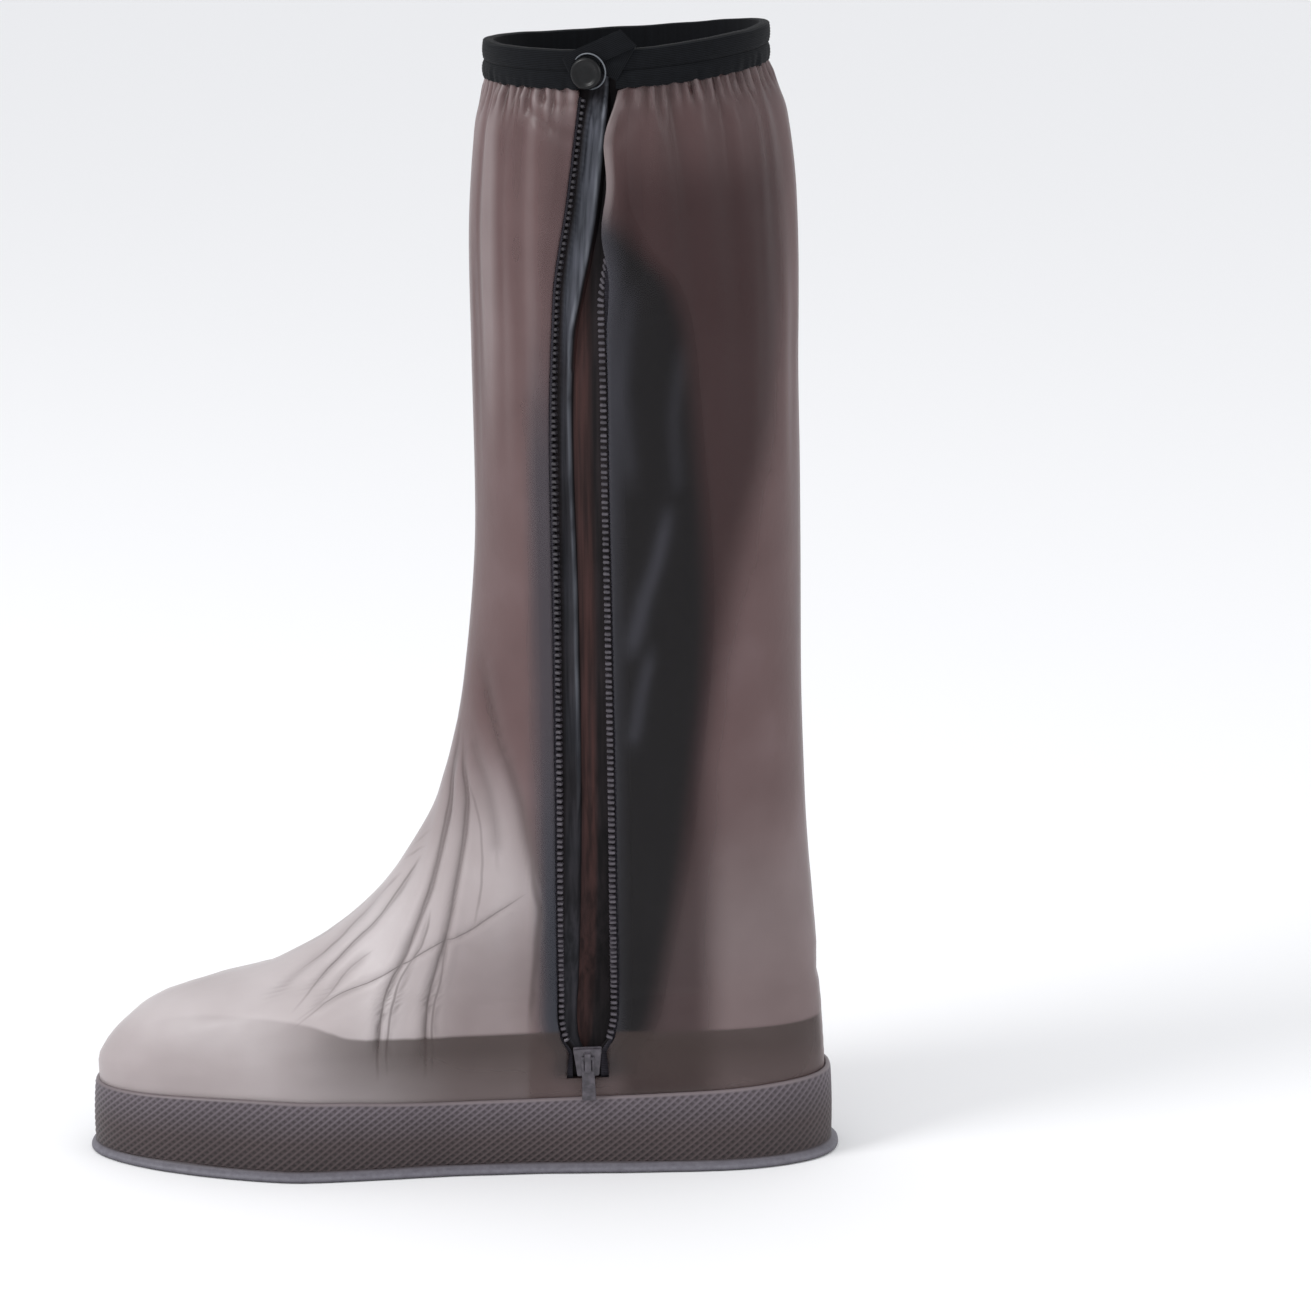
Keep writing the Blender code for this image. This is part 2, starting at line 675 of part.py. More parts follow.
def build_slider(collection, cutters, material):
    """The zip's slider at the lower end of the slit, with its lug and hanging pull in one piece."""
    rise = (ZIP_END_RISE + TEETH_END_RISE) / 2
    frame = side_frame(rise, ZIP_CENTRE, 0.0)
    floor = -FILM_WALL + GAP
    middle = floor + SLIDER_DEPTH / 2
    body = bevelled_box(
        "zip_slider", (SLIDER_WIDTH, SLIDER_HEIGHT, SLIDER_DEPTH), (0, 0, middle), 0.0011, collection
    )
    body.data.materials.append(material)
    lug_height = 0.0024
    face = floor + SLIDER_DEPTH
    lug = bevelled_box(
        "slider_lug", (PULL_WIDTH * 0.5, SLIDER_HEIGHT * 0.7, 2 * lug_height), (0, 0.0004, face), 0.0006, cutters
    )
    pull_centre = (0, SLIDER_HEIGHT * 0.25 - PULL_LENGTH / 2, face + lug_height - PULL_THICKNESS / 2)
    pull = bevelled_box(
        "slider_pull", (PULL_WIDTH, PULL_LENGTH, PULL_THICKNESS), pull_centre, 0.0004, cutters
    )
    for piece in (lug, pull):
        piece.hide_render = True
        piece.display_type = "WIRE"
        piece.matrix_world = frame
        join = body.modifiers.new("Join " + piece.name, "BOOLEAN")
        join.operation = "UNION"
        join.object = piece
    body.matrix_world = frame
    return body


def strap_centre_height(share):
    """Height of the strap's middle line at a share of its reach: it climbs from the snap to a peak, then falls."""
    shares = [row.share for row in STRAP_COURSE]
    i = min(max(bisect.bisect_right(shares, share) - 1, 0), len(shares) - 2)
    low, high = STRAP_COURSE[i], STRAP_COURSE[i + 1]
    climb = low.climb + (high.climb - low.climb) * (share - low.share) / (high.share - low.share)
    return snap_height() + STRAP_PEAK * climb


def snap_place_x():
    return film_edge_x(1.0, -1) + CUFF_FRONT_TAIL / 2


def snap_height():
    loop = film_loop(1.0)
    return cuff_low(loop.along(loop.angle_at(snap_place_x()))) + CUFF_HEIGHT / 2


def build_strap(collection, cutters, material):
    """The strap across the opening of the cuff, folded to a peak between its ends."""
    loop = film_loop(1.0)
    near = CUFF_SHELL + GAP
    far = near + STRAP_THICKNESS
    first = STRAP_COURSE[0].share
    count = 14
    rings = []
    for i in range(count + 1):
        share = first + (1 - first) * i / count
        angle = loop.angle_at(snap_place_x() + STRAP_REACH * share)
        middle = strap_centre_height(share)
        rounding = 0.72 if i in (0, count) else 1.0
        half = STRAP_WIDTH / 2 * rounding
        ring = []
        for grow, side in ((near, -1), (far, -1), (far, 1), (near, 1)):
            ring.append(Vector((*loop.point(angle, grow), middle + side * half)))
        rings.append(ring)
    strap = add_object("closing_strap", mesh_from(skin_rings(rings), "closing_strap", 30), collection, material)
    cut_with(strap, snap_hole_cutter(cutters, "strap_hole_cutter"))
    return strap


def snap_frame():
    """Frame of the snap on the cuff's outer face: its Z points out of the cover."""
    loop = film_loop(1.0)
    x = snap_place_x()
    step = 0.002
    before = loop.point(loop.angle_at(x - step), CUFF_SHELL)
    after = loop.point(loop.angle_at(x + step), CUFF_SHELL)
    along = Vector((after.x - before.x, after.y - before.y, 0)).normalized()
    out = along.cross(Vector((0, 0, 1)))
    here = loop.point(loop.angle_at(x), CUFF_SHELL)
    place = Vector((here.x, here.y, snap_height()))
    return Matrix.Translation(place) @ Matrix((along, Vector((0, 0, 1)), out)).transposed().to_4x4()


def snap_hole_cutter(cutters, name):
    """A round cutter through the strap and both walls of the cuff."""
    bm = bmesh.new()
    radius = SNAP_POST / 2 + SNAP_PLAY
    bmesh.ops.create_cone(
        bm, cap_ends=True, segments=16, radius1=radius, radius2=radius, depth=0.024
    )
    cutter = add_object(name, mesh_from(bm, name), cutters)
    cutter.matrix_world = snap_frame()
    return cutter


def build_snap(collection, material):
    """The snap button: a turned cap, its post through strap and cuff, and the washer behind."""
    cap_back = 2 * GAP + STRAP_THICKNESS + 0.0004
    washer_front = -2 * CUFF_SHELL - FILM_WALL - 0.0006
    washer_thickness = 0.0008
    radius = SNAP_DIAMETER / 2
    post = SNAP_POST / 2
    washer = SNAP_WASHER / 2
    dome = [
        (radius * math.cos(a), cap_back + 0.0006 + SNAP_DOME * math.sin(a))
        for a in (math.radians(d) for d in (78, 56, 36, 18, 0))
    ]
    profile = [(0, cap_back + 0.0006 + SNAP_DOME)] + dome
    profile += [(radius, cap_back), (post, cap_back), (post, washer_front), (washer, washer_front)]
    profile += [(washer, washer_front - washer_thickness), (0, washer_front - washer_thickness)]
    mesh = bpy.data.meshes.new("snap_button")
    mesh.from_pydata([(x, 0, z) for x, z in profile], [(i, i + 1) for i in range(len(profile) - 1)], [])
    snap = add_object("snap_button", mesh, collection, material)
    turn = snap.modifiers.new("Turn", "SCREW")
    turn.axis = "Z"
    turn.steps = 20
    turn.render_steps = 20
    turn.use_merge_vertices = True
    turn.merge_threshold = 0.00001
    snap.matrix_world = snap_frame()
    return snap


def main():
    for thing in list(bpy.data.objects):
        bpy.data.objects.remove(thing)
    cover = bpy.data.collections.new("Shoe cover")
    cutters = bpy.data.collections.new("Cutters")
    bpy.context.scene.collection.children.link(cover)
    bpy.context.scene.collection.children.link(cutters)

    film = make_material("Smoke film", (0.17, 0.12, 0.11), 0.35, alpha=0.8)
    dark_film = make_material("Dark gusset film", (0.03, 0.03, 0.035), 0.4, alpha=0.9)
    band = make_material("Embossed band", (0.07, 0.055, 0.055), 0.5)
    sole = make_material("Sole sheet", (0.10, 0.085, 0.085), 0.45)
    binding = make_material("Elastic binding", (0.012, 0.013, 0.016), 0.85)
    tape = make_material("Zip tape", (0.025, 0.025, 0.03), 0.8)
    teeth = make_material("Zip teeth", (0.06, 0.06, 0.065), 0.35)
    snap = make_material("Snap button", (0.015, 0.015, 0.018), 0.35)

    build_outsole(cover, cutters, sole)
    build_band(cover, band)
    build_film(cover, film)
    build_cuff(cover, cutters, binding)
    build_zip_side(-1, "front", cover, tape, teeth)
    build_zip_side(1, "rear", cover, tape, teeth)
    build_gusset(cover, dark_film)
    build_slider(cover, cutters, teeth)
    build_strap(cover, cutters, binding)
    build_snap(cover, snap)


main()
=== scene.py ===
import bisect
import math
import bmesh
import bpy
from mathutils import Matrix, Vector, noise


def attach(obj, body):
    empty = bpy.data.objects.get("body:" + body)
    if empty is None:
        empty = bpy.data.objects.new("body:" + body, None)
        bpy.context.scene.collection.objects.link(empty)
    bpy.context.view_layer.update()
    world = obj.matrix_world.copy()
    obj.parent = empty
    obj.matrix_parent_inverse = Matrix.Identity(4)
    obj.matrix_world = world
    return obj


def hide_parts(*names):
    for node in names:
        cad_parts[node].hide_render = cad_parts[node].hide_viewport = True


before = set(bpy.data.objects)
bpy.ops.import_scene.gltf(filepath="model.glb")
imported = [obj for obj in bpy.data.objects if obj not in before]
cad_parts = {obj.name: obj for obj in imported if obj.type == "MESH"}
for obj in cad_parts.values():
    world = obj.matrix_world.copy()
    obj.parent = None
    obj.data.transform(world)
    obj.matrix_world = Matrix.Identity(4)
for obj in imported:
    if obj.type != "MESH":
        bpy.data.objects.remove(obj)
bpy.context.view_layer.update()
mm = 0.001
print("frame loaded")


def toLinear(tone):
    # a hex colour, three levels or a grey level as a linear colour
    if not isinstance(tone, str):
        return (*(tone if isinstance(tone, tuple) else (tone,) * 3), 1)
    parts = [int(tone[i:i + 2], 16) / 255 for i in (1, 3, 5)]
    return tuple(p / 12.92 if p <= 0.04045 else ((p + 0.055) / 1.055) ** 2.4 for p in parts) + (1,)


class Look:
    # a material with short calls for its nodes: an argument that is an output is linked, any other is set

    def __init__(self, name, **settings):
        self.material = bpy.data.materials.new(name)
        self.material.use_nodes = True
        self.tree = self.material.node_tree
        self.objectPlace = None
        self.plug(**settings)

    def feed(self, node, values):
        for key, value in values.items():
            socket = node.inputs[key]
            if isinstance(value, bpy.types.NodeSocket):
                self.tree.links.new(value, socket)
            else:
                socket.default_value = value

    def plug(self, **values):
        self.feed(self.tree.nodes["Principled BSDF"], {key.replace("_", " "): value for key, value in values.items()})

    def add(self, kind, values, **properties):
        node = self.tree.nodes.new("ShaderNode" + kind)
        for key, value in properties.items():
            setattr(node, key, value)
        self.feed(node, values)
        return node

    @property
    def place(self):
        if self.objectPlace is None:
            self.objectPlace = self.add("TexCoord", {}).outputs["Object"]
        return self.objectPlace

    def axes(self, source=None):
        parts = self.add("SeparateXYZ", {"Vector": source or self.place}).outputs
        return parts["X"], parts["Y"], parts["Z"]

    def layer(self, name):
        # the four channels of a painted attribute
        painted = self.add("Attribute", {}, attribute_name=name).outputs
        parts = self.add("SeparateColor", {"Color": painted["Color"]}).outputs
        return parts["Red"], parts["Green"], parts["Blue"], painted["Alpha"]

    def noise(self, scale, detail=2.0, roughness=0.5, at=None):
        return self.add("TexNoise", {"Scale": scale, "Detail": detail, "Roughness": roughness,
                                     "Vector": at or self.place}).outputs["Fac"]

    def maths(self, operation, *values):
        return self.add("Math", dict(enumerate(values)), operation=operation).outputs[0]

    def spread(self, source, low, high, toLow=0.0, toHigh=1.0, smooth=False):
        values = {"Value": source, "From Min": low, "From Max": high, "To Min": toLow, "To Max": toHigh}
        return self.add("MapRange", values, interpolation_type="SMOOTHSTEP" if smooth else "LINEAR").outputs["Result"]

    def mix(self, share, low, high, blend="MIX"):
        low, high = (toLinear(tone) if isinstance(tone, str) else tone for tone in (low, high))
        return self.add("Mix", {0: share, 6: low, 7: high}, data_type="RGBA", blend_type=blend).outputs[2]

    def tones(self, source, *stops):
        # colour ramp through places and tones
        node = self.add("ValToRGB", {"Fac": source})
        ends = node.color_ramp.elements
        for element, (spot, tone) in zip(ends, (stops[0], stops[-1])):
            element.position, element.color = spot, toLinear(tone)
        for spot, tone in stops[1:-1]:
            ends.new(spot).color = toLinear(tone)
        return node.outputs["Color"]

    def curve(self, source, points):
        node = self.add("FloatCurve", {"Value": source})
        bends = node.mapping.curves[0].points
        bends[0].location, bends[1].location = points[0], points[-1]
        for spot in points[1:-1]:
            bends.new(*spot)
        node.mapping.update()
        return node.outputs["Value"]

    def bump(self, height, strength, distance):
        return self.add("Bump", {"Height": height, "Strength": strength, "Distance": distance}).outputs["Normal"]


def newObject(name, data):
    made = bpy.data.objects.new(name, data)
    bpy.context.scene.collection.objects.link(made)
    return made


def newMesh(name, bm):
    mesh = bpy.data.meshes.new(name)
    bm.to_mesh(mesh)
    bm.free()
    return mesh


def axesMatrix(a, b, c):
    return Matrix((a, b, c)).transposed().to_4x4()


def spinRound(bm, geom, steps):
    bmesh.ops.spin(bm, geom=geom, cent=(0, 0, 0), axis=(0, 0, 1), angle=2 * math.pi, steps=steps, use_merge=True)
    closeUp(bm)


def closeUp(bm, fill=False, turn=True):
    # merge what meets, fill the open ends and turn the faces outward
    bmesh.ops.remove_doubles(bm, verts=bm.verts, dist=1e-6)
    if fill:
        bmesh.ops.holes_fill(bm, edges=[e for e in bm.edges if e.is_boundary], sides=0)
    if turn:
        bmesh.ops.recalc_face_normals(bm, faces=bm.faces)


def addBlock(bm, place, size):
    return bmesh.ops.create_cube(bm, size=1.0, matrix=place @ Matrix.Diagonal((*size, 1)))["verts"]


def bevelEdges(bm, edges, offset, segments=1):
    bmesh.ops.bevel(bm, geom=edges, offset=offset, segments=segments, profile=0.5, affect="EDGES", material=-1)


def grown(spot, grow, z):
    # a section's spot moved outward by grow, at height z
    x, y, growX, growY = spot
    return Vector((x + grow * growX, y + grow * growY, z))


def finishPiece(name, bm, look, replaces=(), sharp=60):
    bm.normal_update()
    mesh = newMesh(name, bm)
    mesh.shade_smooth()
    mesh.set_sharp_from_angle(angle=math.radians(sharp))
    mesh.materials.append(look.material)
    piece = newObject(name, mesh)
    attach(piece, "root")
    if replaces:
        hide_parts(*replaces)
    return piece


def addWall(piece, thickness, offset=-1):
    wall = piece.modifiers.new("wall", "SOLIDIFY")
    wall.thickness = thickness
    wall.offset = offset
    wall.use_even_offset = False


def makeGrid(columns, rows, place, flat=None, colour=None):
    # a grid whose corner in column i and row j goes to place(i, j)
    bm = bmesh.new()
    uv = bm.loops.layers.uv.new("UVMap")
    if colour:
        bm.verts.layers.float_color.new(colour)
    bmesh.ops.create_grid(bm, x_segments=columns, y_segments=rows, size=0.5)
    spots = {v: (round((v.co.x + 0.5) * columns), round((v.co.y + 0.5) * rows)) for v in bm.verts}
    if flat:
        for face in bm.faces:
            for corner in face.loops:
                corner[uv].uv = flat(*spots[corner.vert])
    for v, (i, j) in spots.items():
        v.co = place(i, j)
    return bm, spots


def steadyCurve(rows, column, at):
    # smooth curve through a table's rows that doesn't overshoot them
    xs = [row[0] for row in rows]
    ys = [row[column] for row in rows]
    if at <= xs[0]:
        return ys[0]
    if at >= xs[-1]:
        return ys[-1]
    steps = [(ys[i + 1] - ys[i]) / (xs[i + 1] - xs[i]) for i in range(len(xs) - 1)]
    i = bisect.bisect_right(xs, at) - 1
    slopes = []
    for k in (i, i + 1):
        if k == 0:
            slopes.append(steps[0])
        elif k == len(steps):
            slopes.append(steps[-1])
        else:
            before, after = steps[k - 1], steps[k]
            slopes.append(0.0 if before * after <= 0 else 2 * before * after / (before + after))
    width = xs[i + 1] - xs[i]
    t = (at - xs[i]) / width
    level = ys[i] * (2 * t**3 - 3 * t**2 + 1) + ys[i + 1] * (3 * t**2 - 2 * t**3)
    return level + width * (slopes[0] * (t**3 - 2 * t**2 + t) + slopes[1] * (t**3 - t**2))


def ramp(low, high, at):
    t = min(1.0, max(0.0, (at - low) / (high - low)))
    return t * t * (3 - 2 * t)


def ripple(x, y, z, seed=0.0):
    return noise.noise(Vector((x + seed, y - 2 * seed, z + 0.5 * seed)))


view = {"place": (0.0873, -1.5978, 0.56), "heading": 90.5, "down": 13.0, "across": 17.0}
heading, down = math.radians(view["heading"]), math.radians(view["down"])
ahead = Vector((math.cos(heading) * math.cos(down), math.sin(heading) * math.cos(down), -math.sin(down)))
camera = newObject("camera", bpy.data.cameras.new("camera"))
camera.location = view["place"]
camera.rotation_mode = "QUATERNION"
camera.rotation_quaternion = ahead.to_track_quat("-Z", "Y")
camera.data.sensor_width = 36
camera.data.lens = 18 / math.tan(math.radians(view["across"] / 2))
bpy.context.scene.camera = camera
bpy.context.scene.view_settings.view_transform = "Standard"

light = {"sky": 0.93, "key": 24.0, "keyPlace": (-1.5, -0.9, 1.6), "fill": 4.0, "fillPlace": (1.5, -0.7, 1.0), "size": 0.8}
for name in ("key", "fill"):
    lamp = newObject(name + " softbox", bpy.data.lights.new(name + " softbox", "AREA"))
    lamp.data.shape = "DISK"
    lamp.data.size = light["size"]
    lamp.data.energy = light[name]
    lamp.location = light[name + "Place"]
    lamp.rotation_mode = "QUATERNION"
    lamp.rotation_quaternion = (Vector((0, 0, 0.2)) - lamp.location).to_track_quat("-Z", "Y")
world = bpy.data.worlds.new("studio")
bpy.context.scene.world = world
world.use_nodes = True
world.node_tree.nodes["Background"].inputs["Color"].default_value = (0.97, 0.98, 1.0, 1)
world.node_tree.nodes["Background"].inputs["Strength"].default_value = light["sky"]

floorBm = bmesh.new()
bmesh.ops.create_grid(floorBm, x_segments=2, y_segments=2, size=6)
floor = newObject("floor", newMesh("floor", floorBm))
floor.data.materials.append(Look("matt white paper", Base_Color=toLinear("#f4f4f5"), Roughness=0.9).material)
print("camera, light and floor made")

# measures of the cover, the same as those of the solids
form = {
    "soleLength": 281.0 * mm, "soleWidth": 105.0 * mm, "squareness": 2.3, "toeSwing": 4.0 * mm, "plate": 3.6 * mm,
    "bandHeight": 29.0 * mm, "bandWall": 1.8 * mm, "bandLean": 0.6 * mm, "height": 420.6 * mm, "filmWall": 1.0 * mm,
    "shaftLength": 121.0 * mm, "shaftWidth": 108.0 * mm, "shaftCentre": 66.1 * mm,
    "cuffLength": 103.6 * mm, "cuffWidth": 96.0 * mm, "cuffCentre": 62.7 * mm, "cuffHeight": 13.6 * mm,
    "cuffWall": 1.1 * mm, "cuffSag": 2.8 * mm, "cuffTilt": 6.3 * mm, "cuffTail": 8.0 * mm, "gap": 0.3 * mm,
    "zipCentre": 48.3 * mm, "zipHalfGap": 9.6 * mm, "zipReveal": 3.8 * mm,
}
footprint = [(0.00, 0.83, 0.84), (0.12, 0.87, 0.93), (0.27, 0.92, 0.985), (0.38, 0.82, 1.00), (0.50, 0.71, 0.94),
             (0.62, 0.67, 0.86), (0.76, 0.71, 0.82), (0.88, 0.80, 0.86), (1.00, 0.88, 0.92)]  # along, inner, outer
bandTops = [(0.00, 0.95), (0.25, 1.05), (0.50, 0.96), (0.75, 1.02), (1.00, 1.12)]
sections = [  # rise, toe, heel, sole, shaft, cuff, foot
    (0.000, 1.005, 1.00, 1.010, 0.000, 0.00, 1.00), (0.018, 1.008, 0.98, 1.010, 0.000, 0.00, 0.99),
    (0.038, 0.982, 0.93, 0.985, 0.000, 0.00, 0.97), (0.061, 0.926, 0.87, 0.945, 0.000, 0.00, 0.93),
    (0.077, 0.870, 0.82, 0.900, 0.000, 0.00, 0.88), (0.094, 0.745, 0.76, 0.830, 0.000, 0.00, 0.80),
    (0.108, 0.600, 0.70, 0.730, 0.050, 0.00, 0.70), (0.137, 0.436, 0.62, 0.570, 0.200, 0.00, 0.52),
    (0.180, 0.289, 0.50, 0.330, 0.475, 0.00, 0.32), (0.220, 0.197, 0.40, 0.150, 0.670, 0.00, 0.16),
    (0.300, 0.091, 0.27, 0.000, 0.855, 0.00, 0.00), (0.420, 0.024, 0.14, 0.000, 0.930, 0.00, 0.00),
    (0.580, -0.007, 0.06, 0.000, 0.985, 0.00, 0.00), (0.740, -0.003, 0.00, 0.000, 1.000, 0.00, 0.00),
    (0.870, 0.008, 0.00, 0.000, 0.850, 0.15, 0.00), (0.950, 0.008, 0.00, 0.000, 0.560, 0.44, 0.00),
    (1.000, 0.000, 0.00, 0.000, 0.000, 1.00, 0.00)]
zipCourse = [(0.018, 0.42, 0.00), (0.042, 0.42, 0.00), (0.060, 0.86, 0.00), (0.085, 1.02, 0.00), (0.260, 1.00, -0.02),
             (0.480, 0.97, -0.11), (0.690, 0.94, -0.22), (0.800, 0.82, -0.20), (0.900, 0.64, 0.18), (1.000, 0.57, 0.60)]

shaftFront = form["shaftCentre"] - form["shaftLength"] / 2
shaftBack = form["shaftCentre"] + form["shaftLength"] / 2
bandInset = form["bandWall"] + form["gap"]
cuffShell = form["cuffWall"] + form["gap"]
filmToe = -form["soleLength"] / 2 + form["bandLean"] + bandInset
filmHeel = -filmToe
footHeight = form["plate"] + form["gap"]


class Section:
    # a level section of the cover: angle 0 is the toe, and the inner side comes first
    def __init__(self, front, back, half, foot, trim):
        self.front, self.back, self.half, self.foot, self.trim = front, back, half, foot, trim
        self.power = 2 / (2 + (form["squareness"] - 2) * foot)

    def along(self, angle):
        c = math.cos(angle)
        return (1 - math.copysign(abs(c) ** self.power, c)) / 2

    def angleAt(self, x):
        reach = min(0.999, max(-0.999, 1 - 2 * (x - self.front) / (self.back - self.front)))
        return math.acos(math.copysign(abs(reach) ** (1 / self.power), reach))

    def spot(self, angle):
        # place on the section and the way it grows, as x, y, growth in x and in y
        u = self.along(angle)
        s = math.sin(angle)
        shape = 1 + self.foot * (steadyCurve(footprint, 1 if s >= 0 else 2, u) - 1)
        out = -math.copysign(abs(s) ** self.power, s)
        y = (self.half * shape - self.trim) * out - form["toeSwing"] * self.foot * (1 - u) ** 2
        return self.front + (self.back - self.front) * u, y, 2 * u - 1, out

    def point(self, angle, grow=0.0):
        x, y, growX, growY = self.spot(angle)
        return Vector((x + grow * growX, y + grow * growY))


def soleSection(share=0.0, grow=0.0):
    trim = form["bandLean"] * share - grow
    return Section(-form["soleLength"] / 2 + trim, form["soleLength"] / 2 - trim, form["soleWidth"] / 2, 1.0, trim)


def filmSection(rise):
    if rise < 0:
        return soleSection(1 + rise, -bandInset)
    toe, heel, soleShare, shaft, cuffShare, foot = (steadyCurve(sections, k, min(rise, 1.0)) for k in range(1, 7))
    cuffFront = form["cuffCentre"] - form["cuffLength"] / 2 + cuffShell
    cuffBack = form["cuffCentre"] + form["cuffLength"] / 2 - cuffShell
    front = shaftFront - toe * (shaftFront - filmToe) + cuffShare * (cuffFront - shaftFront)
    back = shaftBack + heel * (filmHeel - shaftBack) + cuffShare * (cuffBack - shaftBack)
    half = soleShare * form["soleWidth"] / 2 + shaft * form["shaftWidth"] / 2 + cuffShare * (form["cuffWidth"] / 2 - cuffShell)
    return Section(front, back, half, foot, soleShare * (form["bandLean"] + bandInset))


def bandTop(u):
    return form["bandHeight"] * steadyCurve(bandTops, 1, u)


def cuffLow(u):
    return form["height"] - form["cuffHeight"] - form["cuffSag"] * 4 * u * (1 - u) + form["cuffTilt"] * u


def filmHeight(rise, u):
    if rise < 0:
        return footHeight + (bandTop(u) - footHeight) * (1 + rise)
    if rise > 1:
        return cuffLow(u) + (rise - 1) * (form["cuffHeight"] - form["cuffWall"] - form["gap"])
    return bandTop(u) + (cuffLow(u) - bandTop(u)) * rise


def rowX(rise, side):
    # where a row of teeth runs: side -1 is the front row, 1 the rear one
    gapShare, lean = steadyCurve(zipCourse, 1, rise), steadyCurve(zipCourse, 2, rise)
    return form["zipCentre"] + form["zipHalfGap"] * (lean + side * gapShare)


def edgeX(rise, side):
    return rowX(rise, side) + side * form["zipReveal"]


def pointAtX(rise, x, grow=0.0):
    section = filmSection(rise)
    angle = section.angleAt(x)
    flat = section.point(angle, grow)
    return Vector((flat.x, flat.y, filmHeight(rise, section.along(angle))))


def sideFrame(rise, x, grow):
    # frame on the inner side: Z points out of the cover and Y up
    place = pointAtX(rise, x, grow)
    along = (pointAtX(rise, x + 2 * mm, grow) - pointAtX(rise, x - 2 * mm, grow)).normalized()
    out = along.cross(Vector((0, 0, 1))).normalized()
    return Matrix.Translation(place) @ axesMatrix(along, out.cross(along), out)


film = {
    "columnsFront": 104, "columnsZip": 5, "columnsBack": 82, "columnsOuter": 108, "crowd": 0.45,
    "wall": 0.8 * mm, "foldWidth": 1.7, "foldDepth": 1.15, "gather": 2.3, "soft": 1.0,
    "calmNear": 2.0, "calmFar": 12.0, "seamBlend": 12.0, "edgeColumns": 8, "round": 345.0,
}
paleEdge = [(30, 26), (56, 27), (75, 28.3), (90, 29.5), (102, 31), (110, 29.7), (120, 28.4), (130, 26.6), (144, 24), (156, 20),
            (167, 15.5), (185, 9)]
slitLow = 0.018  # rise at which the zip's slit begins
gussetReach = 34.0 * mm
gussetCourse = [(0.018, 0.44, 0.25, 0.0), (0.110, 0.62, 0.25, 0.0), (0.300, 0.95, 0.25, 0.0), (0.510, 1.17, 0.20, 0.0),
                (0.710, 1.04, 0.10, 0.1), (0.770, 0.98, 0.20, 0.8), (0.812, 0.84, 0.46, 1.0), (0.852, 0.48, 0.68, 1.0),
                (0.900, 0.20, 0.84, 1.0), (0.970, 0.13, 0.90, 1.0), (1.000, 0.13, 0.80, 0.0)]  # rise, fold, pleat, how far the pleat stands out
# where the painted shade behind the zip ends
paintedShadeEdge = [(60, 97), (90, 97), (123, 96.5), (160, 95.5), (201, 101), (239, 106.7), (280, 118), (309, 123.5), (345, 131)]  # z, x in mm
swings = [(0.0, 0.0), (0.06, 0.0), (0.20, 0.22), (0.33, 0.25), (0.60, 0.08), (0.85, 0.0), (1.0, 0.0)]
riseSteps = [(-1.0, 1), (-0.5, 1), (-0.04, 1), (0.0, 8), (0.05, 16), (0.12, 44), (0.34, 16), (0.56, 14), (0.80, 22), (0.94, 22),
             (1.0, 1), (1.5, 1), (2.0, 0)]
filmRises = []
for (low, count), (high, _) in zip(riseSteps, riseSteps[1:]):
    filmRises += [low + (high - low) * k / count for k in range(count)]
filmRises.append(2.0)
slitRow = next(k for k, rise in enumerate(filmRises) if rise >= slitLow)

# courses of the folds on the inner side, as x and z in mm, with their depth and width
innerFolds = [
    (1.0, 1.0, [(1, 172), (-1, 156), (-3, 148), (-4, 136), (-7, 123), (-10.5, 108), (-16, 93), (-21, 81), (-25, 73), (-28, 66),
                (-30, 52), (-31, 40)]),
    (1.0, 1.0, [(2, 172), (2, 155), (3.3, 141), (2.3, 129), (0, 115), (-2.6, 100), (-5.4, 88), (-9, 77), (-11, 68), (-12.5, 54),
                (-13, 40)]),
    (0.5, 0.7, [(-10, 104), (-13, 89), (-17.5, 80), (-21.5, 70), (-25.5, 55), (-26, 44)]),
    (0.5, 0.7, [(-2, 97), (-4.5, 87), (-6.5, 75), (-8, 64), (-9, 54), (-9.5, 44)]),
    (0.8, 1.8, [(8, 200), (12, 180), (15.5, 167), (20, 156), (24, 144), (26.6, 130), (28.4, 119), (30, 108)]),
    (0.5, 2.0, [(4, 172), (7, 159), (11.6, 147), (14.4, 134), (15.3, 122)]),
    (0.6, 0.8, [(-15, 118), (-18.4, 111), (-23, 104), (-32.5, 92), (-43, 82), (-58, 67)]),
    (0.4, 0.9, [(-24, 108), (-36, 94), (-50, 81), (-64, 71), (-72, 64)]),
    (0.4, 0.9, [(-32, 84), (-41.5, 76), (-49, 68), (-55, 63)]),
    (0.45, 0.6, [(29, 112), (16, 103), (3, 93.5), (-7.3, 88.5), (-20.7, 80), (-32, 73.5), (-46, 67.5), (-56, 62)]),
    # puckers under the cuff
    (0.6, 0.9, [(30, 408), (34, 403), (40, 400.4), (46, 402.5)]),
    (0.4, 1.1, [(27, 402), (32, 395.5), (38, 392), (45, 390)]),
    (0.5, 0.8, [(60, 404), (63, 400), (64.5, 394), (62, 386)]),
]
# painted highlight streaks on the gusset seen through the film: strength, width and course as x and z in mm
streaks = [
    (1.0, 2.4, [(80, 262), (74.5, 238), (70, 224), (65, 200)]),
    (0.8, 2.0, [(73, 208), (69, 188), (66, 166)]),
    (0.5, 2.4, [(66, 345), (63, 300), (66, 262)]),
    (0.4, 2.4, [(84, 320), (80, 290), (82, 262)]),
]
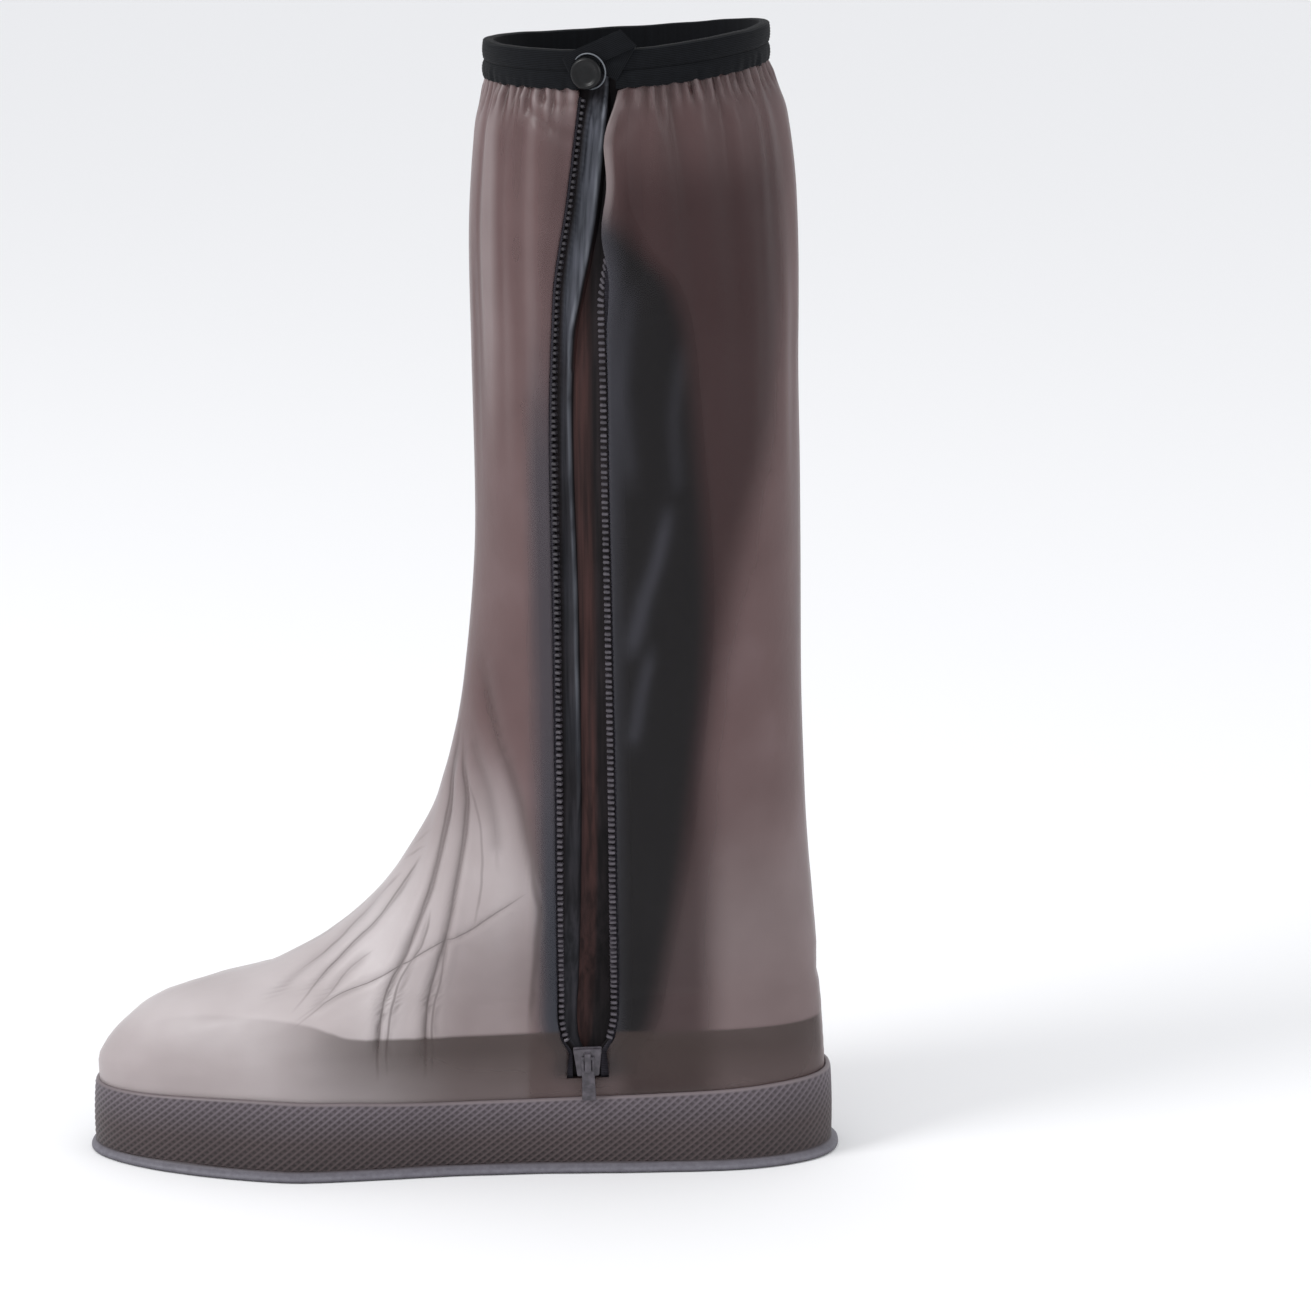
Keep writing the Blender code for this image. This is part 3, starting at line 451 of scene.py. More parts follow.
outerFolds = [
    (1.0, 1.9, [(0, 175), (-4, 150), (-10, 125), (-18, 100), (-27, 80), (-33, 60), (-35, 42)]),
    (1.0, 1.9, [(3, 172), (2, 145), (-2, 120), (-8, 95), (-13, 72), (-16, 44)]),
    (0.9, 2.2, [(8, 190), (14, 160), (19, 135), (20, 110), (17, 85), (14, 60)]),
    (0.6, 1.7, [(-14, 120), (-25, 103), (-42, 84), (-62, 66)]),
    (0.8, 2.4, [(14, 210), (24, 180), (32, 150), (38, 120), (38, 95)]),
    (0.4, 1.7, [(-26, 108), (-46, 86), (-70, 68)]),
]
foldFacets = {}
for key, folds in (("inner", innerFolds), ("outer", outerFolds), ("streak", streaks)):
    foldFacets[key] = []
    for depth, width, course in folds:
        points = [Vector(p) for p in course]
        spans = [(b - a).length for a, b in zip(points, points[1:])]
        box = (min(p.x for p in points) - 9, max(p.x for p in points) + 9, min(p.y for p in points) - 9, max(p.y for p in points) + 9)
        foldFacets[key].append((depth, width, points, spans, sum(spans), box))


def foldDepthAt(side, x, z):
    # how far the film stands out at x and z in mm, and how dark the painted shade in its crease is there
    here = Vector((x, z))
    offset = shade = 0.0
    for depth, width, points, spans, whole, box in foldFacets[side]:
        if not (box[0] < x < box[1] and box[2] < z < box[3]):
            continue
        best, bestRun, run = 99.0, 0.0, 0.0
        for start, end, span in zip(points, points[1:], spans):
            t = min(1.0, max(0.0, (here - start).dot(end - start) / (span * span)))
            away = (here - start - (end - start) * t).length
            if away < best:
                best, bestRun = away, run + t * span
            run += span
        fade = ramp(0, 0.22 * whole, bestRun) * (1 - ramp(0.88 * whole, whole, bestRun))
        d = best / (film["foldWidth"] * width)
        valley = -math.exp(-d * d * 1.6)
        ridge = 0.55 * math.exp(-(d - 2.0) ** 2 * 0.9)
        offset += depth * fade * (valley + ridge)
        shade = max(shade, fade * min(1.0, depth) * math.exp(-d * d * 2.2))
    return offset * film["foldDepth"], shade


def filmLook(rise, u, s, full, sideName, x, y, z):
    # offset in mm, paleness with painted highlights, crease shade, dark backing and painted shade of the film at a
    # place in mm; s is the way round in mm, of full
    if rise < 0 or rise > 1:
        return 0.0, 0.0, 0.0, 0.0, 0.0
    below = (cuffLow(u) / mm) - z
    inner = sideName == "inner"
    turn = s / full * film["round"]  # gathers run straight down
    warp = turn + 1.6 * ripple(turn / 9, below / 40, 0, 3.1)
    fine = math.sin(2 * math.pi * warp / 4.8 + 2.0 * ripple(turn / 14, 0, 0, 7.7)) * (0.55 + 0.9 * abs(ripple(turn / 7, 0, 0, 14.1)))
    near = math.exp(-((below - 2) / (7 + 5 * ripple(turn / 11, 0, 0, 2.9))) ** 2)
    middle = ripple(turn / 7.5, below / 60, 0, 11.3) * 2.2
    drape = max(-1.0, min(1.0, ripple(turn / 9, below / 190, 0, 5.9) * 2.4))
    falling = ramp(2, 16, below) * (1 - ramp(70, 170, below))
    g = film["gather"]
    offset = g * 0.52 * fine * near
    offset += g * 0.55 * middle * math.exp(-below / 22) * ramp(0, 5, below)
    offset += g * 0.45 * drape * falling
    # painted shade in the hollows of the gathers
    crease = min(1.0, 1.1 * max(0.0, -fine) * near + 0.35 * max(0.0, -middle) * math.exp(-below / 22))
    front = 1 - ramp(52, 66, x) if inner else 0.6
    # lit is a painted highlight on the crests of the gathers and drapes
    lit = (0.22 + 0.20 * front) * max(0.0, fine) * near + (0.02 + 0.24 * front) * max(0.0, drape) * falling
    fold, shade = foldDepthAt(sideName, x, z)
    offset += fold
    # painted shade in the creases of the folds
    crease = max(crease, shade * (0.8 if z > 300 else 1.0))
    # crests of the folds near the cuff get a painted highlight
    if z > 300:
        lit += 0.14 * max(0.0, fold)
    body = ramp(40, 70, z) * (1 - ramp(330, 380, z))
    offset += film["soft"] * body * (0.9 * ripple(s / 45, z / 130, 0, 1.7) + 0.35 * ripple(s / 18, z / 60, 0, 9.2))
    footwear = 1 - ramp(60, 110, z)
    offset += 0.28 * footwear * ripple(x / 9, y / 9, z / 6, 4.4) * ramp(27, 36, z)
    offset += 0.40 * ripple(s / 30, z / 2.6, 0, 6.1) * ramp(28, 32, z) * (1 - ramp(40, 50, z))
    drift = 8 * ripple(s / 30, z / 30, 0, 2.5)
    pale = 1 - ramp(92, 184, z + drift)
    limit = steadyCurve(paleEdge, 1, z)
    soft = 1.2 + 0.05 * max(0, z - 90) if inner else 9
    pale *= 1 - (0.60 + 0.30 * ramp(60, 150, z)) * ramp(limit - soft, limit + soft, x)
    pale *= 1 - 0.55 * ramp(-28, 6, x) * (1 - ramp(60, 125, z))  # less light gets in towards the ankle
    pale *= 1 - 0.18 * (1 - ramp(36, 60, z))
    pale *= 1 - 0.14 * (1 - ramp(-110, -80, x)) * (1 - ramp(44, 58, z))
    # the paleness takes the painted highlights
    pale = max(pale, lit)
    # painted shade in the hollows of the drapes
    paintedShade = 0.34 * max(0.0, -drape) * falling
    backed = 0.0
    if inner:  # painted shade is deeper behind the zip, and film that lies on the tape and the gusset is dark
        edge = steadyCurve(paintedShadeEdge, 1, z)
        depth = ramp(56, 66, x) * (1 - ramp(edge - 10, edge + 6, x)) * (1 - ramp(114, 126, x))
        paintedShade = max(paintedShade, depth * (1 - 0.5 * ramp(366, 396, z)))
    if inner and 0.0 < rise < 0.98:
        foldX = (rowX(rise, 1) + gussetReach * steadyCurve(gussetCourse, 1, rise)) / mm
        frontX, rearX = (rowX(rise, side) / mm for side in (-1, 1))
        if x < (frontX + rearX) / 2:
            # painted shade on the film beside the front tape
            pale *= 1 - 0.10 * ramp(-10, 0, x) * (1 - ramp(95, 115, z)) - 0.28 * ramp(frontX - 24, frontX - 10, x)
            backed = (1.0 - 0.20 * ramp(0.18, 0.42, rise)) * ramp(frontX - 13, frontX - 5.5, x) * (1 - 0.88 * ramp(0.62, 0.80, rise))
        else:
            pale *= 1 - 0.75 * paintedShade
            # painted highlight streaks lift the painted shade here
            paintedShade = max(0.0, paintedShade - 0.75 * foldDepthAt("streak", x, z)[1])
            backed = 0.96 * (1 - ramp(foldX - 9, foldX + 2.5, x)) * (1 - ramp(0.86, 0.93, rise))
        backed = max(0.0, backed) * ramp(0.012, 0.03, rise)
    return offset, pale, crease, backed, paintedShade


columnsInner = film["columnsFront"] + film["columnsZip"] + film["columnsBack"]
filmColumns = columnsInner + film["columnsOuter"]
filmSpots = []
for rise in filmRises:
    section = filmSection(rise)
    top = min(rise, 1.0)
    angleFront, angleRear = (filmSection(top).angleAt(edgeX(top, side)) for side in (-1, 1))
    swing = steadyCurve(swings, 1, top)
    angles = []
    for k in range(film["columnsFront"]):
        share = k / film["columnsFront"]
        share *= 1 + film["crowd"] * (1 - share) * (1 - ramp(0.5, 0.9, top))
        angles.append(angleFront * (share - swing * 6.75 * share**2 * (1 - share)))
    angles += [angleFront + (angleRear - angleFront) * k / film["columnsZip"] for k in range(film["columnsZip"])]
    angles += [angleRear + (math.pi - angleRear) * k / film["columnsBack"] for k in range(film["columnsBack"])]
    for k in range(film["columnsOuter"] + 1):
        share = 1 - k / film["columnsOuter"]
        share = share - swing * 3.0 * share**2 * (1 - share)
        angles.append(2 * math.pi - math.pi * share)
    row, travelled, last = [], 0.0, None
    for angle in angles:
        flat = section.point(angle)
        u = section.along(angle)
        if last is not None:
            travelled += (flat - last).length
        last = flat
        row.append((Vector((flat.x, flat.y, filmHeight(rise, u))), u, travelled / mm, "inner" if angle < math.pi else "outer"))
    filmSpots.append(row)
print("film laid out:", filmColumns, "x", len(filmRises) - 1)

filmBm, spots = makeGrid(filmColumns, len(filmRises) - 1, lambda i, j: filmSpots[j][i][0], colour="tint")
tint = filmBm.verts.layers.float_color["tint"]
frontEdge, rearEdge = film["columnsFront"], film["columnsFront"] + film["columnsZip"]
lapped = film["edgeColumns"]
filmBm.normal_update()
moves = {}
for v, (i, j) in spots.items():
    place, u, travelled, sideName = filmSpots[j][i]
    rise = filmRises[j]
    x, y, z = place / mm
    full = filmSpots[j][-1][2]
    seam = min(travelled, full - travelled)
    offset, pale, crease, backed, paintedShade = filmLook(rise, u, travelled, full, sideName, x, y, z)
    if seam < film["seamBlend"]:  # the two ends of the way round meet at the toe line
        otherSide = "outer" if sideName == "inner" else "inner"
        other = filmLook(rise, u, travelled + (full if travelled < full / 2 else -full), full, otherSide, x, y, z)
        share = 0.5 - 0.5 * seam / film["seamBlend"]
        offset = offset * (1 - share) + other[0] * share
    if sideName == "inner" and rise > slitLow:
        away = min(abs(x - edgeX(rise, -1) / mm), abs(x - edgeX(rise, 1) / mm))
        offset *= 0.12 + 0.88 * ramp(film["calmNear"], film["calmFar"], away)
    moves[v] = v.normal * offset * mm
    besideSlit = j >= slitRow and rise < 1.0
    if besideSlit and rearEdge <= i < rearEdge + lapped and rise > 0.80:  # the film laps over the rear row near the cuff
        lap = ramp(0.80, 0.90, rise) * (1 - 0.35 * ramp(0.94, 1.0, rise)) * (1 - (i - rearEdge) / lapped)
        moves[v] += Vector((-5.0 + 1.3 * math.sin(z / 6.5 + 1), -1.6 + 0.5 * math.sin(z / 5), 0)) * mm * lap
        # a painted highlight along the lapped edge
        if i < rearEdge + 2:
            pale = max(pale, 0.28 * lap)
    if besideSlit and frontEdge - lapped < i <= frontEdge:  # it lies close to the teeth
        moves[v].x += 2.1 * mm * ramp(0.02, 0.07, rise) * (1 - (frontEdge - i) / lapped)
    if besideSlit and rearEdge <= i < rearEdge + lapped:
        moves[v].x -= 2.0 * mm * ramp(0.02, 0.07, rise) * (1 - ramp(0.76, 0.84, rise)) * (1 - (i - rearEdge) / lapped)
    v[tint] = (pale, crease, backed, paintedShade)
seamEnds = {}
for v, (i, j) in spots.items():
    if i in (0, filmColumns):
        seamEnds.setdefault(j, []).append(v)
for pair in seamEnds.values():  # both ends of the way round move as one, so that the seam closes
    shared = sum((moves[v] for v in pair), Vector()) / len(pair)
    for v in pair:
        moves[v] = shared
for v, move in moves.items():
    v.co += move
slit = [f for f in filmBm.faces if all(frontEdge <= spots[v][0] <= rearEdge and spots[v][1] >= slitRow for v in f.verts)]
bmesh.ops.delete(filmBm, geom=slit, context="FACES")
closeUp(filmBm, turn=False)

# PVC film, calendered and heat-welded: smoky and see-through, a satin skin with a soft sheen
filmPvc = Look("smoked calendered PVC film", Roughness=0.40, IOR=1.53, Specular_IOR_Level=0.24, Alpha=0.75)
maths, spread, mix, tones = filmPvc.maths, filmPvc.spread, filmPvc.mix, filmPvc.tones
paleTint, creaseShadeTint, backedTint, paintedShadeTint = filmPvc.layer("tint")
placeX, placeY, placeZ = filmPvc.axes()
cloud = filmPvc.noise(22.0, 3.0)
shaftTone = tones(cloud, (0.30, "#5e4848"), (0.55, "#685252"), (0.78, "#745f60"))
footTone = tones(cloud, (0.30, "#bbb1b1"), (0.75, "#cdc5c6"))
bodyTone = mix(paleTint, mix(maths("MULTIPLY", paintedShadeTint, 0.90), shaftTone, "#301a1b"), footTone)
# film over the gusset and tape is darkened by the painted shade and lifted where the painted highlight streaks run
backed = mix(maths("MULTIPLY", backedTint, 0.98), bodyTone, mix(paintedShadeTint, "#363840", "#06070a"))
# sharp crease lines on the inner side, painted dark as painted shade and also bumped: x in mm, width and strength of
# each run down from its z in mm
creases = [
    (1.0, 0.66, [(172, 1), (156, -1), (148, -2.6), (136, -4.1), (123, -6.7), (108, -10.5), (93, -16), (81, -20.7), (73, -25.3),
                 (66, -27.8), (53, -29.5), (42, -30)]),
    (1.0, 0.66, [(168, 2), (155, 1.9), (141, 3.3), (129, 2.3), (115, 0.1), (100, -2.6), (88, -5.4), (77, -8.8), (68, -11), (54, -12),
                 (42, -12.5)]),
    (0.8, 0.5, [(102, -10.2), (89, -13), (80, -18.5), (70, -23.2), (55.5, -26), (44, -26.5)]),
    (0.8, 0.5, [(96, -3), (87, -4.5), (75, -6.5), (64, -8.9), (54, -9.6), (44, -10)]),
    (2.2, 0.5, [(196, 8), (180, 12), (167, 15.5), (156, 20.2), (144, 23.9), (130, 26.6), (119, 28.4), (110, 29.7), (102, 31),
                (89, 29.5), (74, 28.3), (56, 27)]),
    (1.6, 0.3, [(168, 5), (159, 6.8), (147, 11.6), (134, 14.4), (122, 15.3)]),
    (0.8, 0.6, [(118, -14), (111, -18.4), (104, -23.1), (92, -32.5), (82, -42.8), (67, -57.4)]),
    (0.8, 0.45, [(110, -22), (105, -26.4), (94, -35.9), (81, -49.9), (71, -63.8)]),
    (0.9, 0.4, [(84, -32), (76, -41.5), (68, -48.7), (64, -54)]),
    (0.7, 0.3, [(128, -10), (118, -19), (107, -31), (96, -46), (88, -60), (80, -76)]),
    (0.7, 0.3, [(122, -12), (112, -23), (101, -36), (91, -51), (83, -66)]),
    (0.7, 0.25, [(98, -44), (90, -56), (82, -70), (74, -84)]),
    (0.8, 0.3, [(150, 4), (138, 8), (126, 9.5), (112, 9), (98, 7)]),
    (0.9, 0.6, [(110.5, 27), (103, 16.2), (93.5, 3), (88.7, -7.3), (80, -20.7), (73.6, -32), (67.9, -45.8), (62, -55)]),
]
high = spread(placeZ, 30 * mm, 210 * mm)
unevenX = maths("ADD", placeX, spread(filmPvc.noise(70.0), 0, 1, -0.8 * mm, 0.8 * mm))
lines = None
for width, strength, course in creases:
    course = course[::-1]
    low, top = (course[0][0] - 30) / 180, (course[-1][0] - 30) / 180
    run = filmPvc.curve(high, [((z - 30) / 180, (x + 80) / 160) for z, x in course])
    away = maths("ABSOLUTE", maths("SUBTRACT", unevenX, maths("MULTIPLY_ADD", run, 160 * mm, -80 * mm)))
    line = spread(away, 0.1 * mm, width * mm, strength, 0.0, smooth=True)
    reach = tones(high, (max(0, low - 0.03), 0), (low + 0.05, 1), (top - 0.12 * (top - low), 0.8), (top, 0))
    kept = maths("MULTIPLY", line, reach)
    lines = kept if lines is None else maths("MAXIMUM", lines, kept)
onInner = spread(placeY, -4 * mm, -10 * mm)
crisp = maths("MULTIPLY", lines, onInner)
shading = maths("MAXIMUM", crisp, maths("MULTIPLY", creaseShadeTint, 0.55))
# low on the inner side it is dark under a level line
along = spread(placeX, -120 * mm, 40 * mm)
seatCourse = [(-118, 52), (-102, 57.6), (-86, 59.4), (-72, 59.6), (-58, 58.6), (-47, 56.0), (-38, 53.6), (-25, 53.2), (30, 53.6)]
seat = maths("MULTIPLY_ADD", filmPvc.curve(along, [((x + 120) / 160, (z - 45) / 20) for x, z in seatCourse]), 20 * mm, 45 * mm)
under = spread(maths("SUBTRACT", placeZ, seat), 0.8 * mm, -0.8 * mm, 0.0, 0.85, smooth=True)
underFade = spread(placeZ, 29 * mm, 47 * mm, 0.62, 1.0)
shadeCourse = [(-118, 0), (-104, 0.10), (-80, 0.15), (-62, 0.32), (-45, 0.66), (-28, 0.88), (-8, 1), (30, 1)]
alongFade = filmPvc.curve(along, [((x + 120) / 160, share) for x, share in shadeCourse])
underShare = maths("MULTIPLY", maths("MULTIPLY", maths("MULTIPLY", under, underFade), alongFade), onInner)
grain = filmPvc.noise(900.0)  # 1 mm matt grain
crinkle = filmPvc.noise(130.0, 4.0, 0.6)  # 8 mm handling crinkles
heights = maths("MULTIPLY_ADD", crisp, -1.2, maths("MULTIPLY_ADD", grain, 0.02, crinkle))
filmPvc.plug(Base_Color=mix(shading, mix(underShare, backed, "#3f3431"), "#3f3230"), Roughness=spread(cloud, 0, 1, 0.30, 0.46),
             Normal=filmPvc.bump(heights, 0.35, 0.5 * mm))

filmPiece = finishPiece("film_upper_skin", filmBm, filmPvc, ["film_upper"], 70)
addWall(filmPiece, film["wall"])
print("film upper made")

band = {"diamondWidth": 3.4 * mm, "relief": 0.36 * mm, "rowsEmboss": 54, "steps": 6, "bulge": 0.4 * mm}  # nine diamonds high


def roundLook(section, count):
    # angles that divide a section into equal lengths
    steps = 3000
    points = [section.point(2 * math.pi * k / steps) for k in range(steps + 1)]
    runs = [0.0]
    for a, b in zip(points, points[1:]):
        runs.append(runs[-1] + (b - a).length)
    angles = []
    for k in range(count):
        want = runs[-1] * k / count
        i = min(bisect.bisect_right(runs, want) - 1, steps - 1)
        share = (want - runs[i]) / (runs[i + 1] - runs[i])
        angles.append(2 * math.pi * (i + share) / steps)
    return angles, runs[-1]


soleRing = soleSection()
bandColumns = round(roundLook(soleRing, 4)[1] / band["diamondWidth"]) * band["steps"]
bandAngles, _ = roundLook(soleRing, bandColumns)
bandSpots = [(soleRing.spot(a), bandTop(soleRing.along(a))) for a in bandAngles]
rowsEmboss = band["rowsEmboss"]
bandProfile = [(0.0, -form["bandWall"], 0)]  # share of height, growth, 1 where embossed
bandProfile += [(0.965 * k / rowsEmboss, 0.0, 1) for k in range(rowsEmboss + 1)]
bandProfile += [(0.98, -0.15 * mm, 0), (0.993, -0.5 * mm, 0), (1.0, -1.0 * mm, 0), (1.0, -1.5 * mm, 0), (0.99, -1.9 * mm, 0)]


def ridgeAt(i, j):
    # ridges of the embossing: strong ones one way, weaker ones the other
    share = (1.0, 0.6, 0.0, 0.0, 0.0, 0.6)
    return max(share[(i - j) % band["steps"]], 0.55 * share[(i + j) % band["steps"]])


def bandPlace(i, j):
    spot, top = bandSpots[i % bandColumns]
    share, grow, embossed = bandProfile[j % len(bandProfile)]
    grow += band["bulge"] * 4 * share * (1 - share) - form["bandLean"] * share
    if embossed:
        grow += band["relief"] * (ridgeAt(i, j) - 0.5) * ramp(0.0, 0.03, share) * (1 - ramp(0.94, 0.965, share))
    z = footHeight + (top - footHeight) * share
    sag = 0.25 * mm * ripple(spot[0] / mm / 30, spot[1] / mm / 30, 0, 12.3) * share
    return grown(spot, grow, z + sag)


bandBm, spots = makeGrid(bandColumns, len(bandProfile), bandPlace, colour="relief")
relief = bandBm.verts.layers.float_color["relief"]
for v, (i, j) in spots.items():
    share, _, embossed = bandProfile[j % len(bandProfile)]
    v[relief] = (ridgeAt(i, j) if embossed else 0.5, share, ramp(0.955, 0.985, share), 1.0)
closeUp(bandBm, turn=False)

# thick PVC, roll-embossed with small diamonds: dark, satin, its ridges painted paler and its hollows darker as painted
# highlight and shade, and darker towards the bottom
bandPvc = Look("embossed PVC band", Roughness=0.45, IOR=1.53, Specular_IOR_Level=0.35)
ridgeShare, heightShare, hemShare, _ = bandPvc.layer("relief")
valleyShadeTone = bandPvc.tones(heightShare, (0.0, "#1f1617"), (0.40, "#271d1e"), (0.72, "#342c30"), (0.9, "#433b40"))
ridgeHighlightTone = bandPvc.tones(heightShare, (0.0, "#4b3f40"), (0.40, "#54484a"), (0.72, "#645b61"), (0.9, "#6e656c"))
hemMix = bandPvc.mix(hemShare, bandPvc.mix(ridgeShare, valleyShadeTone, ridgeHighlightTone), "#756b6e")
rubbed = bandPvc.tones(bandPvc.noise(30.0, 4.0), (0.3, (0.62, 0.60, 0.60)), (0.7, 1))
grit = bandPvc.noise(1600.0)  # 0.6 mm grain
bandPvc.plug(Base_Color=bandPvc.mix(0.5, hemMix, rubbed, "MULTIPLY"), Normal=bandPvc.bump(grit, 0.25, 0.12 * mm))
finishPiece("embossed_band", bandBm, bandPvc, ["sole_band"], 80)
print("sole band made:", bandColumns, "x", len(bandProfile))

tread = {"columns": 360, "grooves": 13, "grooveWidth": 4.0 * mm, "grooveDepth": 1.4 * mm, "grooveRound": 1.8 * mm,
         "margin": 14.0 * mm}
lip = {"reachSide": 3.1 * mm, "reachToe": 1.8 * mm}
treadAngles, _ = roundLook(soleRing, tread["columns"])
treadSpots = [soleRing.spot(a) for a in treadAngles]
treadProfile = [(-1.2 * mm, 0.0), (-0.5 * mm, 0.1 * mm), (-0.1 * mm, 0.5 * mm), (0, 1.2 * mm), (0, 2.6 * mm), (-0.1 * mm, 3.2 * mm),
                (-0.5 * mm, 3.5 * mm), (-1.2 * mm, form["plate"])]


def treadPlace(i, j):
    return grown(treadSpots[i % tread["columns"]], *treadProfile[j])


treadBm, _ = makeGrid(tread["columns"], len(treadProfile) - 1, treadPlace)
closeUp(treadBm, fill=True)

# solid PVC sheet, pressed: dark satin, scuffed where it touches the ground, with a paler inner face
solePvc = Look("pressed PVC sole sheet", Roughness=0.5, IOR=1.53)
scuff = solePvc.noise(60.0, 6.0, 0.65)
scuffTone = solePvc.tones(scuff, (0.3, "#4d4546"), (0.6, "#5c5455"), (0.8, "#767071"))
insideShare = solePvc.spread(solePvc.axes()[2], 3.4 * mm, 3.55 * mm)
pebble = solePvc.add("TexVoronoi", {"Scale": 700.0, "Vector": solePvc.place}).outputs["Distance"]  # 1.4 mm pebbled grip
solePvc.plug(Base_Color=solePvc.mix(insideShare, scuffTone, "#9a918d"), Roughness=solePvc.spread(scuff, 0, 1, 0.38, 0.66),
             Normal=solePvc.bump(pebble, 0.4, 0.2 * mm))
solePiece = finishPiece("outsole_sheet", treadBm, solePvc, ["outsole"], 35)
grooveBm = bmesh.new()
groovePitch = (form["soleLength"] - 2 * tread["margin"]) / tread["grooves"]
for k in range(tread["grooves"]):
    x = -form["soleLength"] / 2 + tread["margin"] + (k + 0.5) * groovePitch
    inner = soleRing.point(soleRing.angleAt(x), -tread["margin"])
    outer = soleRing.point(2 * math.pi - soleRing.angleAt(x), -tread["margin"])
    size = (tread["grooveWidth"], outer.y - inner.y, 2 * tread["grooveDepth"])
    addBlock(grooveBm, Matrix.Translation((x, (inner.y + outer.y) / 2, 0)), size)
uprights = [e for e in grooveBm.edges if abs(e.verts[0].co.z - e.verts[1].co.z) > mm]
bevelEdges(grooveBm, uprights, tread["grooveRound"], 5)
grooves = newObject("grooves", newMesh("grooves", grooveBm))
cut = solePiece.modifiers.new("grooves", "BOOLEAN")
cut.operation = "DIFFERENCE"
cut.object = grooves
bpy.context.view_layer.update()
cutMesh = bpy.data.meshes.new_from_object(solePiece.evaluated_get(bpy.context.evaluated_depsgraph_get()))
solePiece.modifiers.clear()
solePiece.data = cutMesh
bpy.data.objects.remove(grooves)

lipProfile = [(-1.0, 0.25), (0.0, 0.20), (0.55, 0.22), (0.82, 0.32), (0.96, 0.62), (1.0, 1.05), (0.96, 1.5), (0.84, 1.95), (0.62, 2.35),
              (0.36, 2.75), (0.12, 3.3), (0.02, 3.75), (-0.15, 3.85), (-1.0, 3.4)]


def lipPlace(i, j):
    spot = treadSpots[i % tread["columns"]]
    x, y = spot[:2]
    share, z = lipProfile[j % len(lipProfile)]
    reach = lip["reachToe"] + (lip["reachSide"] - lip["reachToe"]) * ramp(-0.135, -0.10, x)
    reach *= 1 + 0.10 * ripple(x / mm / 20, y / mm / 20, 0, 2.2) + 0.04 * ripple(x / mm / 5, y / mm / 5, 0, 5.2)
    grow = max(share, 0) * reach + (share * 0.6 * mm if share < 0 else 0.02 * mm)
    return grown(spot, grow, z * mm * (1 + (0.06 * ripple(x / mm / 15, y / mm / 15, 1, 3.3) if z > 1 else 0)))


lipBm, _ = makeGrid(tread["columns"], len(lipProfile), lipPlace)
closeUp(lipBm)

# clear PVC squeezed out and trimmed along the weld: milky grey, a little rough where it was cut, with painted shade
# along its foot and where it meets the band
lipPvc = Look("trimmed PVC weld edge", Roughness=0.55, IOR=1.53, Specular_IOR_Level=0.3)
speck = lipPvc.noise(420.0, 5.0, 0.7)
lipGreyAndShade = lipPvc.tones(lipPvc.spread(lipPvc.axes()[2], 0.0, 3.6 * mm), (0.0, "#312f34"), (0.22, "#5e5c63"), (0.55, "#706e76"),
                       (0.86, "#646168"), (1.0, "#433c40"))
speckTone = lipPvc.tones(speck, (0.32, (0.66, 0.65, 0.67)), (0.62, 1))
lipPvc.plug(Base_Color=lipPvc.mix(0.8, lipGreyAndShade, speckTone, "MULTIPLY"), Normal=lipPvc.bump(speck, 0.4, 0.2 * mm))
finishPiece("weld_lip", lipBm, lipPvc, (), 70)
print("outsole and lip made")

cuff = {"columns": 400, "ribs": 13, "rib": 0.16 * mm, "pucker": 0.95 * mm, "groove": 0.45, "columnRun": 0.85}  # run in mm
topRing = filmSection(1.0)
tailAngle = topRing.angleAt(edgeX(1.0, -1) + form["cuffTail"])
rearAngle = topRing.angleAt(edgeX(1.0, 1) - 3.5 * mm)
cuffFrom, cuffTo = rearAngle, 2 * math.pi + tailAngle
outGrow, inGrow = cuffShell, -form["filmWall"] - cuffShell
cuffProfile = [(form["gap"], 0.0), (form["gap"] + 0.3 * mm, -0.012), (outGrow - 0.3 * mm, -0.012), (outGrow - 0.06 * mm, 0.01)]
ribRows = cuff["ribs"] * 3
for k in range(ribRows + 1):
    share = 0.03 + 0.93 * k / ribRows
    rib = cuff["rib"] * (0.5 - 0.5 * math.cos(2 * math.pi * share * cuff["ribs"]))
    groove = 0.35 * mm * math.exp(-((share - cuff["groove"]) / 0.035) ** 2)
    swell = (share - cuff["groove"]) / (1 - cuff["groove"]) if share > cuff["groove"] else share / cuff["groove"]
    crown = 0.45 * mm * math.sin(math.pi * min(1, max(0, swell)))
    cuffProfile.append((outGrow - 0.15 * mm + rib - groove + crown, share))
lining = inGrow + form["cuffWall"]
cuffProfile += [(outGrow - 0.25 * mm, 0.985), (outGrow - 0.8 * mm, 1.0), ((outGrow + inGrow) / 2, 1.0), (inGrow + 0.5 * mm, 1.0)]
cuffProfile += [(inGrow, share) for share in (0.97, 0.6, 0.3, 0.03)]
cuffProfile += [(inGrow + 0.4 * mm, 0.0), (lining, 0.01), (lining, 0.5), (lining, 0.9), (form["gap"], 0.9), (form["gap"], 0.5)]


